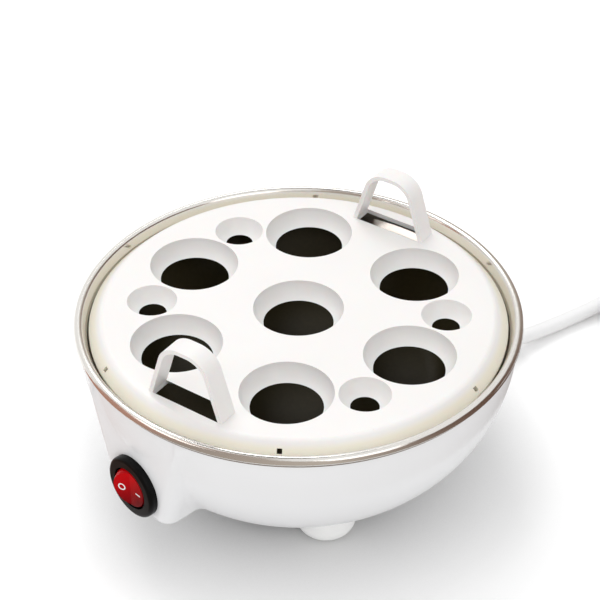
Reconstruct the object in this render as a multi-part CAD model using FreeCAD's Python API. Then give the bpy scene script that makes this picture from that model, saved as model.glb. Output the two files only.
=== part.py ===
import FreeCAD, Part
import math
import os
from FreeCAD import Rotation, Vector

# Egg cooker: a moulded bowl-shaped housing with a steel heating bowl, a lift-out tray and a rocker switch.
# Millimetres, +Z up. The origin lies on the bowl's axis, on the table. The switch faces -Y.

os.makedirs("parts", exist_ok=True)

# Steel heating bowl with its rolled rim
RIM_RADIUS = 80.0
RIM_TOP = 66.7
BEAD_DIAMETER = 3.4
BEAD_CURL_END = -110.0
STEEL = 0.6
PAN_DEPTH = 29.7
PAN_FLOOR_MARGIN = 20.3
PAN_FLOOR_BEND = 9.0
LEDGE_BEND = 2.0
LEDGE_CORNER = 0.7
LEDGE_SPARE = 1.3

# Lift-out tray
TRAY_RISE = 0.6
TRAY_MARGIN = 5.2
TRAY_WALL = 1.8
TRAY_SHOULDER = 3.0
TRAY_SKIRT_HEIGHT = 4.4
TRAY_SKIRT_ANGLE = 45.0
TRAY_EDGE = 1.0
TRAY_FOOT_WIDTH = 2.2
TRAY_CLEARANCE = 0.3
TRAY_AZIMUTH = -47.8
WELL_COUNT = 6
WELL_MARGIN = 28.0
WELL_TOP_RADIUS = 16.2
WELL_HOLE_RADIUS = 12.6
WELL_DEPTH = 6.5
VENT_MARGIN = 22.1
VENT_TOP_RADIUS = 9.0
VENT_HOLE_RADIUS = 5.0
VENT_DEPTH = 5.5
CUP_BULGE = 1.2
DRAIN_SIDE = 1.8
DRAIN_MARGIN = 1.6
HANDLE_MARGIN = 12.5
HANDLE_WIDTH = 7.6
HANDLE_THICKNESS = 1.6
HANDLE_SPAN = 27.4
HANDLE_HEIGHT = 22.7
HANDLE_LEAN = 17.2
HANDLE_CROWN = 9.0

# Housing
GASKET_HEIGHT = 0.8
GASKET_WIDTH = 1.4
RIM_OVERHANG = 1.4
BOWL_BELOW_TABLE = 4.4
BOWL_FULLNESS = 2.13
BOWL_POINTS = 8
WALL = 2.5
LIP_WIDTH = 1.6
LIP_DEPTH = 3.0
SEAM_HEIGHT = 9.0

# Switch boss on the housing
BOSS_AZIMUTH = -90.0
BOSS_SETBACK = 1.8
BOSS_LENGTH = 28.0
BOSS_CHIN = 11.9
BOSS_BOTTOM_HALF = 15.0
BOSS_TOP_HALF = 27.5
BOSS_CEILING = 10.5
BOSS_CORNER = 5.5
BOSS_EDGE = 3.4
BOSS_BLEND = 5.0
SEAM_TOLERANCE = 0.15
SEAM_SAMPLES = (0.02, 0.5, 0.98)

# Rocker switch
SWITCH_DROP = 36.2
BEZEL_RADIUS = 11.75
BEZEL_HEIGHT = 3.0
BEZEL_ROUND = 1.4
SWITCH_BODY_RADIUS = 9.9
SWITCH_BODY_DEPTH = 15.0
SWITCH_HOLE_CLEARANCE = 0.2
ROCKER_RADIUS = 7.8
ROCKER_CLEARANCE = 0.3
ROCKER_VALLEY = 3.0
ROCKER_UNDERSIDE = 3.4
ROCKER_TILT = 11.0
ROCKER_WELL_DEPTH = 5.6
PIVOT_RADIUS = 1.2
PIVOT_REACH = 1.2
PIVOT_CLEARANCE = 0.2
LATCH_REACH = 0.9
LATCH_LENGTH = 3.0
LATCH_WIDTH = 5.0
SWITCH_TAB_SPACING = 10.0

# Heater under the bowl
PLATE_MARGIN = 7.0
PLATE_THICKNESS = 3.0
PLATE_CHAMFER = 0.8
ELEMENT_MARGIN = 13.0
ELEMENT_DIAMETER = 6.6
ELEMENT_FLAT = 0.6
ELEMENT_GAP_AZIMUTH = 90.0
ELEMENT_GAP_HALF = 40.0
COLD_PIN_DIAMETER = 3.0
COLD_PIN_LENGTH = 3.0
STANDOFF_MARGIN = 4.5
STANDOFF_DIAMETER = 8.0
STANDOFF_AZIMUTHS = (12.0, 132.0, 252.0)
PAN_SCREW_DIAMETER = 3.9
PAN_SCREW_SPARE = 5.4
SCREW_CLEARANCE = 0.1

# Boil-dry thermostat
CAP_DIAMETER = 16.0
CAP_HEIGHT = 3.2
CAP_ROUND = 0.6
THERMOSTAT_DIAMETER = 14.6
THERMOSTAT_HEIGHT = 9.5
THERMOSTAT_CHAMFER = 0.8
CLIP_THICKNESS = 1.0
CLIP_HALF_LENGTH = 16.0
CLIP_HALF_WIDTH = 9.5
CLIP_CORNER = 5.0
CLIP_SCREW_OFFSET = 12.5
CLIP_SCREW_DIAMETER = 2.9
CLIP_SCREW_BITE = 2.0
THERMOSTAT_TAB_DROP = 8.6

# Blade tabs, push-on sockets and leads
TAB_LENGTH = 8.0
TAB_WIDTH = 6.3
TAB_THICKNESS = 0.8
TAB_CHAMFER = 1.0
SOCKET_WALL = 0.7
SOCKET_PLAY = 0.1
SOCKET_START = 0.8
SOCKET_SLEEVE = 9.0
SOCKET_BARREL = 4.0
SOCKET_BARREL_DIAMETER = 3.4
LEAD_DIAMETER = 2.2
LEAD_STRAIGHT = 4.0
EARTH_TAB_AZIMUTH = 30.0
FUSE_DIAMETER = 5.0
FUSE_LENGTH = 22.0
FUSE_ROUND = 0.8

# Lugs and pillars inside the housing
LUG_TOP = 18.0
LUG_THICKNESS = 4.0
LUG_WIDTH = 13.0
LUG_REACH = 5.5
GUSSET_THICKNESS = 2.5
GUSSET_HEIGHT = 7.0
PILLAR_AZIMUTHS = (56.0, 176.0, 296.0)
PILLAR_INSET = 7.5
PILLAR_DIAMETER = 7.0
PILLAR_TOP = 20.0

# Base cover, its screws and the feet
COVER_BOTTOM = 5.5
COVER_THICKNESS = 2.2
COVER_RIM = 3.0
COVER_SCREW_DIAMETER = 2.8
COVER_SCREW_BITE = 8.0
SCREW_HEAD_RATIO = 1.95
SCREW_HEAD_HEIGHT = 2.2
SCREW_HEAD_ROUND = 1.0
SCREW_TIP_ROOM = 1.0
LOCATOR_WIDTH = 16.0
LOCATOR_THICKNESS = 1.5
LOCATOR_HEIGHT = 2.5
LOCATOR_CLEARANCE = 0.3
FOOT_AZIMUTHS = (-30.0, 90.0, 210.0)
FOOT_INSET = 6.7
FOOT_DIAMETER = 21.8
FOOT_ROUND = 6.4
FOOT_CLEARANCE = 0.2
FOOT_STEM_DIAMETER = 7.0
FOOT_STEM_CLEARANCE = 0.1
FOOT_STEM_LENGTH = 3.2

# Cord outlet, clamp and strain relief, along an axis that dips outwards
OUTLET_AZIMUTH = 81.0
OUTLET_SETBACK = 12.6
OUTLET_HEIGHT = 16.0
OUTLET_DIP = 15.0
OUTLET_DIAMETER = 15.0
OUTLET_DEPTH = 20.0
OUTLET_ROUND = 1.5
OUTLET_LINING = 4.0
RELIEF_NECK_DIAMETER = 9.0
RELIEF_NECK_LENGTH = 7.0
RELIEF_CLEARANCE = 0.2
RELIEF_FLANGE_DIAMETER = 12.5
RELIEF_FLANGE_THICKNESS = 2.0
RELIEF_ROOT_DIAMETER = 10.4
RELIEF_TIP_DIAMETER = 8.0
RELIEF_LENGTH = 26.0
CORD_DIAMETER = 6.0
CORD_BORE_CLEARANCE = 0.15
CORD_INSIDE = 24.0
CLAMP_CENTRE = -19.5
CLAMP_LENGTH = 7.0
CLAMP_HALF_WIDTH = 11.2
CLAMP_THICKNESS = 5.0
CLAMP_ROUND = 2.0
CLAMP_GAP = 0.4
CLAMP_SCREW_OFFSET = 8.0
CLAMP_SCREW_DIAMETER = 2.8
CLAMP_SCREW_BITE = 5.0
CLAMP_POST_DIAMETER = 6.5
SHELF_THICKNESS = 3.0
SHELF_CLEARANCE = 0.2

# Cord on the table, its coil, tie and plug
ARC_SHARE = 0.45
COIL_TURNS_EACH_LAYER = 1.375
COIL_MIDDLE_RADIUS = 33.0
COIL_STEP = 6.6
COIL_PIECES_PER_TURN = 4
COIL_SAMPLES = 72
COIL_LIFT = 1.2
COIL_HEADING = 81.0
COIL_START_RADIUS = 176.0
CORD_RUN_OUT = 15.0
CORD_LAY_POINTS = ((125.0, 3.1, 0.6), (144.0, 3.2, 0.3))
CORD_RUN_IN = 16.0
TAIL_RUN = 13.0
TAIL_REACH = 41.0
TIE_WIDTH = 6.0
TIE_THICKNESS = 0.8
TIE_CLEARANCE = 0.4
TIE_CORNER = 2.9
TIE_ANGLE = -60.0
PLUG_AXIS_HEIGHT = 15.6
PLUG_RADIUS = 18.5
PLUG_HEAD_LENGTH = 14.0
PLUG_GRIP_LENGTH = 24.0
PLUG_GRIP_RADIUS = 9.5
PLUG_SLEEVE_LENGTH = 14.0
PLUG_SLEEVE_RADIUS = 5.2
PLUG_SLEEVE_WALL = 0.8
PLUG_GRIP_STEP = 2.0
PLUG_GRIP_FLARE = 1.5
PLUG_HEAD_SLOPE = 5.0
PLUG_HEAD_ROUND = 1.2
PLUG_FLAT_HALF = 15.4
PIN_DIAMETER = 4.8
PIN_LENGTH = 19.0
PIN_SPACING = 19.0
PIN_ROUND = 1.9
EARTH_STRIP_WIDTH = 4.6
EARTH_STRIP_THICKNESS = 0.8
EARTH_STRIP_LENGTH = 11.0
EARTH_GROOVE_DEPTH = 1.5
EARTH_GROOVE_CLEARANCE = 0.2

# Heights and radii that follow from the sizes above
ORIGIN = Vector(0, 0, 0)
UP = Vector(0, 0, 1)
X_AXIS = Vector(1, 0, 0)
CLOSE = 0.01
BOWL_RADIUS = RIM_RADIUS - RIM_OVERHANG
TRAY_RADIUS = RIM_RADIUS - TRAY_MARGIN
TRAY_TOP = RIM_TOP + TRAY_RISE
TRAY_FOOT = TRAY_TOP - TRAY_SKIRT_HEIGHT - TRAY_EDGE
LEDGE_HEIGHT = TRAY_FOOT - TRAY_CLEARANCE
LEDGE_OUTER = TRAY_RADIUS + TRAY_CLEARANCE
LEDGE_INNER = TRAY_RADIUS - TRAY_FOOT_WIDTH - LEDGE_SPARE
PAN_FLOOR_RADIUS = LEDGE_INNER - PAN_FLOOR_MARGIN
WELL_PITCH_RADIUS = TRAY_RADIUS - WELL_MARGIN
VENT_PITCH_RADIUS = TRAY_RADIUS - VENT_MARGIN
DRAIN_RADIUS = TRAY_RADIUS - DRAIN_MARGIN
HANDLE_RADIUS = TRAY_RADIUS - HANDLE_MARGIN
PAN_FLOOR = RIM_TOP - PAN_DEPTH
PLATE_RADIUS = PAN_FLOOR_RADIUS - PLATE_MARGIN
ELEMENT_RADIUS = PLATE_RADIUS - ELEMENT_MARGIN
STANDOFF_RADIUS = PLATE_RADIUS - STANDOFF_MARGIN
LUG_INNER = STANDOFF_RADIUS - LUG_REACH
PLATE_TOP = PAN_FLOOR - STEEL
PLATE_BOTTOM = PLATE_TOP - PLATE_THICKNESS
BOWL_TOP = RIM_TOP - BEAD_DIAMETER - GASKET_HEIGHT
BOWL_DEPTH = BOWL_TOP + BOWL_BELOW_TABLE
BOSS_FACE = BOWL_RADIUS - BOSS_SETBACK
BOSS_ROOT = BOSS_FACE - BOSS_LENGTH
SWITCH_HEIGHT = RIM_TOP - SWITCH_DROP
BOSS_BOTTOM = SWITCH_HEIGHT - BOSS_CHIN
BOSS_HOLLOW_TOP = BOWL_TOP - BOSS_CEILING
ELEMENT_HEIGHT = PLATE_BOTTOM - ELEMENT_DIAMETER / 2 + ELEMENT_FLAT
LUG_BOTTOM = LUG_TOP - LUG_THICKNESS
PAN_SCREW_LENGTH = PLATE_BOTTOM - LUG_BOTTOM - PAN_SCREW_SPARE
OUTLET_RADIUS = BOWL_RADIUS - OUTLET_SETBACK
COVER_FLOOR = COVER_BOTTOM + COVER_THICKNESS
SOCKET_REACH = SOCKET_START + SOCKET_SLEEVE + SOCKET_BARREL
CLIP_BOTTOM = PLATE_BOTTOM - CAP_HEIGHT - CLIP_THICKNESS
TAB_HEIGHT = PLATE_BOTTOM - THERMOSTAT_TAB_DROP


# Small helpers
def unit(vector):
    return vector * (1 / vector.Length)


def at(azimuth, radius, z=0.0, across=0.0):
    """Point at a radius on an azimuth, moved across it to the left."""
    a = math.radians(azimuth)
    return Vector(
        radius * math.cos(a) - across * math.sin(a),
        radius * math.sin(a) + across * math.cos(a),
        z,
    )


def turned(shape, azimuth):
    copy = shape.copy()
    copy.rotate(ORIGIN, UP, azimuth)
    return copy


def line(a, b):
    return Part.LineSegment(a, b).toShape()


def tangent_arc(a, corner, b):
    """Arc from a to b that leaves towards the corner and arrives from it."""
    middle = (a + b) * 0.5
    half_chord = (b - a).Length / 2
    turn = (corner - a).getAngle(b - corner)
    return Part.Arc(a, middle + unit(corner - middle) * half_chord * math.tan(turn / 4), b).toShape()


def rounded_edges(points, radii):
    """Straight runs through the points, joined at each inner point by a tangent arc."""
    edges = []
    start = points[0]
    for before, corner, after, radius in zip(points, points[1:], points[2:], radii):
        into = unit(corner - before)
        out = unit(after - corner)
        reach = radius * math.tan(into.getAngle(out) / 2)
        edges.append(line(start, corner - into * reach))
        edges.append(tangent_arc(corner - into * reach, corner, corner + out * reach))
        start = corner + out * reach
    edges.append(line(start, points[-1]))
    return edges


def cord_radii(points):
    """The largest radius that the shorter run beside each inner point allows."""
    radii = []
    for before, corner, after in zip(points, points[1:], points[2:]):
        shorter = min((corner - before).Length, (after - corner).Length)
        turn = (corner - before).getAngle(after - corner)
        radii.append(ARC_SHARE * shorter / math.tan(turn / 2))
    return radii


def tube(edges, diameter):
    """Round bar swept along the edges."""
    first = edges[0]
    begin = first.FirstParameter
    ring = Part.makeCircle(diameter / 2, first.valueAt(begin), first.tangentAt(begin))
    return Part.Wire(edges).makePipeShell([Part.Wire(ring)], True, False)


def routed(points, diameter):
    return tube(rounded_edges(points, cord_radii(points)), diameter)


def outline(points):
    """Flat face in the XZ plane through radius and height pairs."""
    corners = [Vector(r, 0, z) for r, z in points]
    return Part.Face(Part.makePolygon(corners + corners[:1]))


def lathe(points):
    return outline(points).revolve(ORIGIN, UP, 360)


def box(low, high):
    return Part.makeBox(high[0] - low[0], high[1] - low[1], high[2] - low[2], Vector(*low))


def rod(diameter, start, end):
    return Part.makeCylinder(diameter / 2, (end - start).Length, start, end - start)


def bar(diameter, start, end):
    """Rod on the X axis."""
    return rod(diameter, X_AXIS * start, X_AXIS * end)


def spun(points):
    """Solid turned about the X axis, from pairs of distance along it and radius."""
    corners = [Vector(x, 0, r) for x, r in points]
    return Part.Face(Part.makePolygon(corners + corners[:1])).revolve(ORIGIN, X_AXIS, 360)


def swept_round(edges):
    """Solid turned about the upright axis, from the edges of its half section."""
    return Part.Face(Part.Wire(edges)).revolve(ORIGIN, UP, 360)


def edges_where(shape, test):
    return [edge for edge in shape.Edges if test(edge)]


def placed(shape, origin, along, top):
    """Shape modelled along +X, set at the origin point and pointed along a direction."""
    copy = shape.copy()
    copy.Placement = FreeCAD.Placement(origin, Rotation(along, Vector(), top, "XZY"))
    return copy


def pan_head_screw(diameter, length):
    """Screw along +X, with its head below the seat at x = 0."""
    head = bar(diameter * SCREW_HEAD_RATIO, -SCREW_HEAD_HEIGHT, 0)
    rim = edges_where(head, lambda e: e.BoundBox.XMax < CLOSE - SCREW_HEAD_HEIGHT)
    head = head.makeFillet(SCREW_HEAD_ROUND, rim)
    return head.fuse(bar(diameter, 0, length)).removeSplitter()


def export(shape, name):
    shape.exportStep("parts/" + name + ".step")


# Bowl curve shared by the housing and the cover
def bowl_point(turn, inset):
    power = 2 / BOWL_FULLNESS
    return Vector(
        (BOWL_RADIUS - inset) * math.cos(turn) ** power,
        0,
        BOWL_TOP - (BOWL_DEPTH - inset) * math.sin(turn) ** power,
    )


def bowl_turn(height, inset):
    """Angle on the bowl curve at a height."""
    return math.asin(((BOWL_TOP - height) / (BOWL_DEPTH - inset)) ** (BOWL_FULLNESS / 2))


def bowl_radius(height, inset=0.0):
    return bowl_point(bowl_turn(height, inset), inset).x


PILLAR_RADIUS = bowl_radius(SEAM_HEIGHT) - PILLAR_INSET
FOOT_RADIUS = bowl_radius(SEAM_HEIGHT) - FOOT_INSET


def bowl_edge(low, high, inset=0.0):
    first = bowl_turn(low, inset)
    last = bowl_turn(high, inset)
    turns = [first + (last - first) * i / (BOWL_POINTS - 1) for i in range(BOWL_POINTS)]
    points = [bowl_point(turn, inset) for turn in turns]
    curve = Part.BSplineCurve()
    curve.interpolate(points)
    return curve.toShape()


def bowl_solid(low, inset=0.0):
    """Solid inside the bowl curve from a height up to the housing's top edge."""
    edge = bowl_edge(low, BOWL_TOP, inset)
    foot = Vector(bowl_radius(low, inset), 0, low)
    top = Vector(BOWL_RADIUS - inset, 0, BOWL_TOP)
    axis_foot = Vector(0, 0, low)
    axis_top = Vector(0, 0, BOWL_TOP)
    return swept_round([line(axis_foot, foot), edge, line(top, axis_top), line(axis_top, axis_foot)])


# Outlet frame: modelled along +X from the outlet's face, then dipped and turned to its azimuth
OUTLET_ORIGIN = at(OUTLET_AZIMUTH, OUTLET_RADIUS, OUTLET_HEIGHT)
outlet_slope = math.radians(OUTLET_DIP)
OUTLET_ALONG = at(OUTLET_AZIMUTH, math.cos(outlet_slope), -math.sin(outlet_slope))
OUTLET_UP = at(OUTLET_AZIMUTH, math.sin(outlet_slope), math.cos(outlet_slope))


def at_outlet(shape):
    return placed(shape, OUTLET_ORIGIN, OUTLET_ALONG, OUTLET_UP)


# Housing: moulded bowl with the switch boss, the cord outlet, and lugs and pillars inside
def boss_section(height, inset):
    """Outline of the nose at a height, all its sides moved in by an inset."""
    share = (height - BOSS_BOTTOM) / (BOWL_TOP - BOSS_BOTTOM)
    half = BOSS_BOTTOM_HALF + share * (BOSS_TOP_HALF - BOSS_BOTTOM_HALF) - inset
    face = BOSS_FACE - inset
    pairs = ((BOSS_ROOT, -half), (face, -half), (face, half), (BOSS_ROOT, half))
    corners = [Vector(x, y, 0) for x, y in pairs]
    wire = Part.makePolygon(corners + corners[:1])
    wire.translate(UP * height)
    return wire


def boss_block(inset, top):
    """Nose that carries the switch, wider at the top than at the bottom."""
    foot = BOSS_BOTTOM + inset
    block = Part.makeLoft([boss_section(foot, inset), boss_section(top, inset)], True, True)
    face = BOSS_FACE - inset
    tall = (top - foot) / 2
    front = edges_where(block, lambda e: e.BoundBox.XMin > face - CLOSE and e.BoundBox.ZLength > tall)
    block = block.makeFillet(BOSS_CORNER - inset / 2, front)
    low = edges_where(block, lambda e: e.BoundBox.ZMax < foot + CLOSE and e.BoundBox.XMax > BOSS_ROOT + CLOSE)
    return turned(block.makeFillet(BOSS_EDGE - inset / 2, low), BOSS_AZIMUTH)


def boss_seam(edge):
    """True for an edge where the lower part of the nose meets the bowl."""
    low = edge.BoundBox.ZMin
    if not SEAM_HEIGHT + CLOSE < low < SWITCH_HEIGHT + BEZEL_RADIUS:
        return False
    for share in SEAM_SAMPLES:
        p = edge.valueAt(edge.FirstParameter + share * (edge.LastParameter - edge.FirstParameter))
        in_front = p.y < -BOSS_ROOT / 2 and abs(p.x) < BOSS_TOP_HALF and p.z < BOWL_TOP
        if not in_front or abs(math.hypot(p.x, p.y) - bowl_radius(p.z)) > SEAM_TOLERANCE:
            return False
    return True


def lug(azimuth):
    """Shelf with a gusset, on which a standoff of the heater is screwed down."""
    shelf = box((LUG_INNER, -LUG_WIDTH / 2, LUG_BOTTOM), (BOWL_RADIUS, LUG_WIDTH / 2, LUG_TOP))
    half = GUSSET_THICKNESS / 2
    back = max(bowl_radius(SEAM_HEIGHT, WALL) + LOCATOR_CLEARANCE, STANDOFF_RADIUS + STANDOFF_DIAMETER)
    web = box((back, -half, LUG_BOTTOM - GUSSET_HEIGHT), (BOWL_RADIUS, half, LUG_BOTTOM))
    spot = X_AXIS * STANDOFF_RADIUS
    hole = rod(PAN_SCREW_DIAMETER + 4 * SCREW_CLEARANCE, spot, spot + UP * RIM_TOP)
    return turned(shelf.fuse(web).cut(hole), azimuth)


def pillar(azimuth):
    """Post with a pilot hole for a screw of the cover, joined to the wall by a web."""
    foot = Vector(PILLAR_RADIUS, 0, SEAM_HEIGHT)
    post = rod(PILLAR_DIAMETER, foot, Vector(PILLAR_RADIUS, 0, PILLAR_TOP))
    half = GUSSET_THICKNESS / 2
    web = box((PILLAR_RADIUS, -half, SEAM_HEIGHT), (BOWL_RADIUS, half, PILLAR_TOP))
    tip = foot + UP * (COVER_SCREW_BITE + SCREW_TIP_ROOM)
    hole = rod(COVER_SCREW_DIAMETER + 2 * SCREW_CLEARANCE, foot, tip)
    return turned(post.fuse(web).cut(hole), azimuth)


def cord_shelf():
    """Shelf over the cord with two posts that the clamp is screwed to."""
    under = CORD_DIAMETER / 2 + SHELF_CLEARANCE
    inner = CLAMP_CENTRE - CLAMP_LENGTH / 2
    shelf = box((inner, -CLAMP_HALF_WIDTH, under), (0, CLAMP_HALF_WIDTH, under + SHELF_THICKNESS))
    for side in (-1, 1):
        foot = Vector(CLAMP_CENTRE, side * CLAMP_SCREW_OFFSET, -CLAMP_GAP)
        head = Vector(CLAMP_CENTRE, side * CLAMP_SCREW_OFFSET, under + SHELF_THICKNESS)
        shelf = shelf.fuse(rod(CLAMP_POST_DIAMETER, foot, head))
        tip = foot + UP * (CLAMP_SCREW_BITE + SCREW_TIP_ROOM)
        shelf = shelf.cut(rod(CLAMP_SCREW_DIAMETER + 2 * SCREW_CLEARANCE, foot, tip))
    return at_outlet(shelf)


def make_housing():
    outside = bowl_solid(SEAM_HEIGHT).fuse(boss_block(0, BOWL_TOP)).removeSplitter()
    outside = outside.makeFillet(BOSS_BLEND, edges_where(outside, boss_seam))
    spout = bar(OUTLET_DIAMETER, -OUTLET_DEPTH, 0)
    spout_rim = edges_where(spout, lambda e: e.BoundBox.XMin > -CLOSE)
    outside = outside.fuse(at_outlet(spout.makeFillet(OUTLET_ROUND, spout_rim)))
    inside = bowl_solid(SEAM_HEIGHT, WALL).fuse(boss_block(WALL, BOSS_HOLLOW_TOP))
    lip = rod(2 * (BOWL_RADIUS - LIP_WIDTH), UP * (BOWL_TOP - LIP_DEPTH), UP * RIM_TOP)
    shell = outside.cut(inside.fuse(lip))
    fittings = [lug(a) for a in STANDOFF_AZIMUTHS] + [pillar(a) for a in PILLAR_AZIMUTHS]
    fittings.append(cord_shelf())
    whole = bowl_solid(SEAM_HEIGHT)
    shell = shell.fuse([fitting.common(whole) for fitting in fittings])
    bore = bar(RELIEF_NECK_DIAMETER + 2 * RELIEF_CLEARANCE, OUTLET_LINING - OUTLET_DEPTH, 0)
    inner = at(BOSS_AZIMUTH, BOSS_FACE - SWITCH_BODY_DEPTH, SWITCH_HEIGHT)
    outer = at(BOSS_AZIMUTH, BOSS_FACE, SWITCH_HEIGHT)
    switch_hole = rod(2 * (SWITCH_BODY_RADIUS + SWITCH_HOLE_CLEARANCE), inner, outer)
    return shell.cut([at_outlet(bore), switch_hole])


housing = make_housing()
export(housing, "housing")


# Base cover: dish that carries on the bowl's curve, with locating tabs and holes for feet and screws
def make_cover():
    rim = bowl_radius(SEAM_HEIGHT)
    floor = bowl_radius(COVER_BOTTOM)
    edges = [
        line(Vector(0, 0, COVER_BOTTOM), Vector(floor, 0, COVER_BOTTOM)),
        bowl_edge(COVER_BOTTOM, SEAM_HEIGHT),
    ]
    inner = [
        (rim, SEAM_HEIGHT), (rim - COVER_RIM, SEAM_HEIGHT), (floor - COVER_THICKNESS, COVER_FLOOR),
        (0, COVER_FLOOR), (0, COVER_BOTTOM),
    ]
    corners = [Vector(r, 0, z) for r, z in inner]
    edges += [line(a, b) for a, b in zip(corners, corners[1:])]
    cover = swept_round(edges)
    reach = bowl_radius(SEAM_HEIGHT, WALL) - LOCATOR_CLEARANCE
    back = reach - LOCATOR_THICKNESS
    root = COVER_FLOOR - COVER_THICKNESS / 4
    top = SEAM_HEIGHT + LOCATOR_HEIGHT
    ring = lathe([(back, root), (reach, root), (reach, top), (back, top)])
    for azimuth in STANDOFF_AZIMUTHS:
        window = box((0, -LOCATOR_WIDTH / 2, 0), (BOWL_RADIUS, LOCATOR_WIDTH / 2, RIM_TOP))
        cover = cover.fuse(ring.common(turned(window, azimuth)))
    holes = []
    for azimuth in FOOT_AZIMUTHS:
        foot = at(azimuth, FOOT_RADIUS)
        holes.append(rod(FOOT_STEM_DIAMETER + 2 * FOOT_STEM_CLEARANCE, foot, foot + UP * RIM_TOP))
    for azimuth in PILLAR_AZIMUTHS:
        spot = at(azimuth, PILLAR_RADIUS)
        holes.append(rod(COVER_SCREW_DIAMETER + 4 * SCREW_CLEARANCE, spot, spot + UP * RIM_TOP))
        pad = rod(PILLAR_DIAMETER, spot + UP * COVER_BOTTOM, spot + UP * SEAM_HEIGHT)
        cover = cover.fuse(pad)
    return cover.cut(holes).removeSplitter()


base_cover = make_cover()
export(base_cover, "base_cover")

cover_screw = pan_head_screw(COVER_SCREW_DIAMETER, SEAM_HEIGHT - COVER_BOTTOM + COVER_SCREW_BITE)
cover_seats = [at(a, PILLAR_RADIUS, COVER_BOTTOM) for a in PILLAR_AZIMUTHS]
cover_screws = [placed(cover_screw, seat, UP, X_AXIS) for seat in cover_seats]
export(Part.makeCompound(cover_screws), "cover_screws")


# Feet: rounded buttons pushed into the cover, their tops shaped to the bowl
def make_foot(azimuth):
    spot = at(azimuth, FOOT_RADIUS)
    button = rod(FOOT_DIAMETER, ORIGIN, UP * (SEAM_HEIGHT + FOOT_DIAMETER / 2))
    rim = edges_where(button, lambda e: e.BoundBox.ZMax < CLOSE)
    button = button.makeFillet(FOOT_ROUND, rim).translated(spot)
    button = button.cut(bowl_solid(COVER_BOTTOM, -FOOT_CLEARANCE))
    stem_top = COVER_BOTTOM + FOOT_STEM_LENGTH
    stem = rod(FOOT_STEM_DIAMETER, spot + UP * COVER_BOTTOM / 2, spot + UP * stem_top)
    return button.fuse(stem).removeSplitter()


feet = [make_foot(a) for a in FOOT_AZIMUTHS]
export(Part.makeCompound(feet), "feet")


# Heating bowl: pressed sheet with a ledge for the tray and a rolled rim
def make_heating_bowl():
    bead = Vector(RIM_RADIUS - BEAD_DIAMETER / 2, 0, RIM_TOP - BEAD_DIAMETER / 2)
    ledge = Vector(LEDGE_OUTER, 0, LEDGE_HEIGHT)
    toward = bead - ledge
    lean = math.atan2(toward.z, toward.x) + math.asin(BEAD_DIAMETER / 2 / toward.Length)
    climb = math.sqrt(toward.Length ** 2 - (BEAD_DIAMETER / 2) ** 2)
    touch = ledge + Vector(math.cos(lean), 0, math.sin(lean)) * climb
    floor = [Vector(0, 0, PAN_FLOOR), Vector(PAN_FLOOR_RADIUS, 0, PAN_FLOOR)]
    points = floor + [Vector(LEDGE_INNER, 0, LEDGE_HEIGHT), ledge, touch]
    edges = rounded_edges(points, [PAN_FLOOR_BEND, LEDGE_BEND, LEDGE_CORNER])
    start_angle = lean + math.pi / 2
    end_angle = math.radians(BEAD_CURL_END)

    def on_bead(angle):
        return bead + Vector(math.cos(angle), 0, math.sin(angle)) * (BEAD_DIAMETER / 2)

    middle = on_bead((start_angle + end_angle) / 2)
    edges.append(Part.Arc(touch, middle, on_bead(end_angle)).toShape())
    section = Part.Wire(edges).makeOffset2D(-STEEL, 0, True, True)
    return section.revolve(ORIGIN, UP, 360)


heating_bowl = make_heating_bowl()
export(heating_bowl, "heating_bowl")

# Gasket: soft ring on the housing's edge, under the rolled rim
gasket_inner = BOWL_RADIUS - GASKET_WIDTH
gasket_top = BOWL_TOP + GASKET_HEIGHT
rim_gasket = lathe([
    (gasket_inner, BOWL_TOP),
    (BOWL_RADIUS, BOWL_TOP),
    (BOWL_RADIUS, gasket_top),
    (gasket_inner, gasket_top),
])
export(rim_gasket, "rim_gasket")


# Blade tabs and push-on sockets
def tab(origin, along, top):
    half = TAB_WIDTH / 2
    blade = box((0, -half, -TAB_THICKNESS / 2), (TAB_LENGTH, half, TAB_THICKNESS / 2))
    tips = edges_where(blade, lambda e: e.BoundBox.XMin > TAB_LENGTH - CLOSE and e.BoundBox.ZLength > CLOSE)
    return placed(blade.makeChamfer(TAB_CHAMFER, tips), origin, along, top)


def socket(origin, along, top):
    half_width = TAB_WIDTH / 2 + SOCKET_PLAY
    half_height = TAB_THICKNESS / 2 + SOCKET_PLAY
    sleeve = box((SOCKET_START, -half_width - SOCKET_WALL, -half_height - SOCKET_WALL),
                 (SOCKET_START + SOCKET_SLEEVE, half_width + SOCKET_WALL, half_height + SOCKET_WALL))
    slit = box((0, -half_width, -half_height), (TAB_LENGTH + SOCKET_PLAY, half_width, half_height))
    barrel = bar(SOCKET_BARREL_DIAMETER, TAB_LENGTH + SOCKET_PLAY, SOCKET_REACH)
    return placed(sleeve.cut(slit).fuse(barrel).removeSplitter(), origin, along, top)


# Heat plate and heater
element_ends = {}
for side in (-1, 1):
    azimuth = ELEMENT_GAP_AZIMUTH + side * ELEMENT_GAP_HALF
    element_ends[side] = (at(azimuth, ELEMENT_RADIUS, ELEMENT_HEIGHT), at(azimuth, 0, 0, -side))
standoff_spots = [at(a, STANDOFF_RADIUS, LUG_TOP) for a in STANDOFF_AZIMUTHS]
clip_spots = [Vector(0, side * CLIP_SCREW_OFFSET, CLIP_BOTTOM) for side in (-1, 1)]

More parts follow.
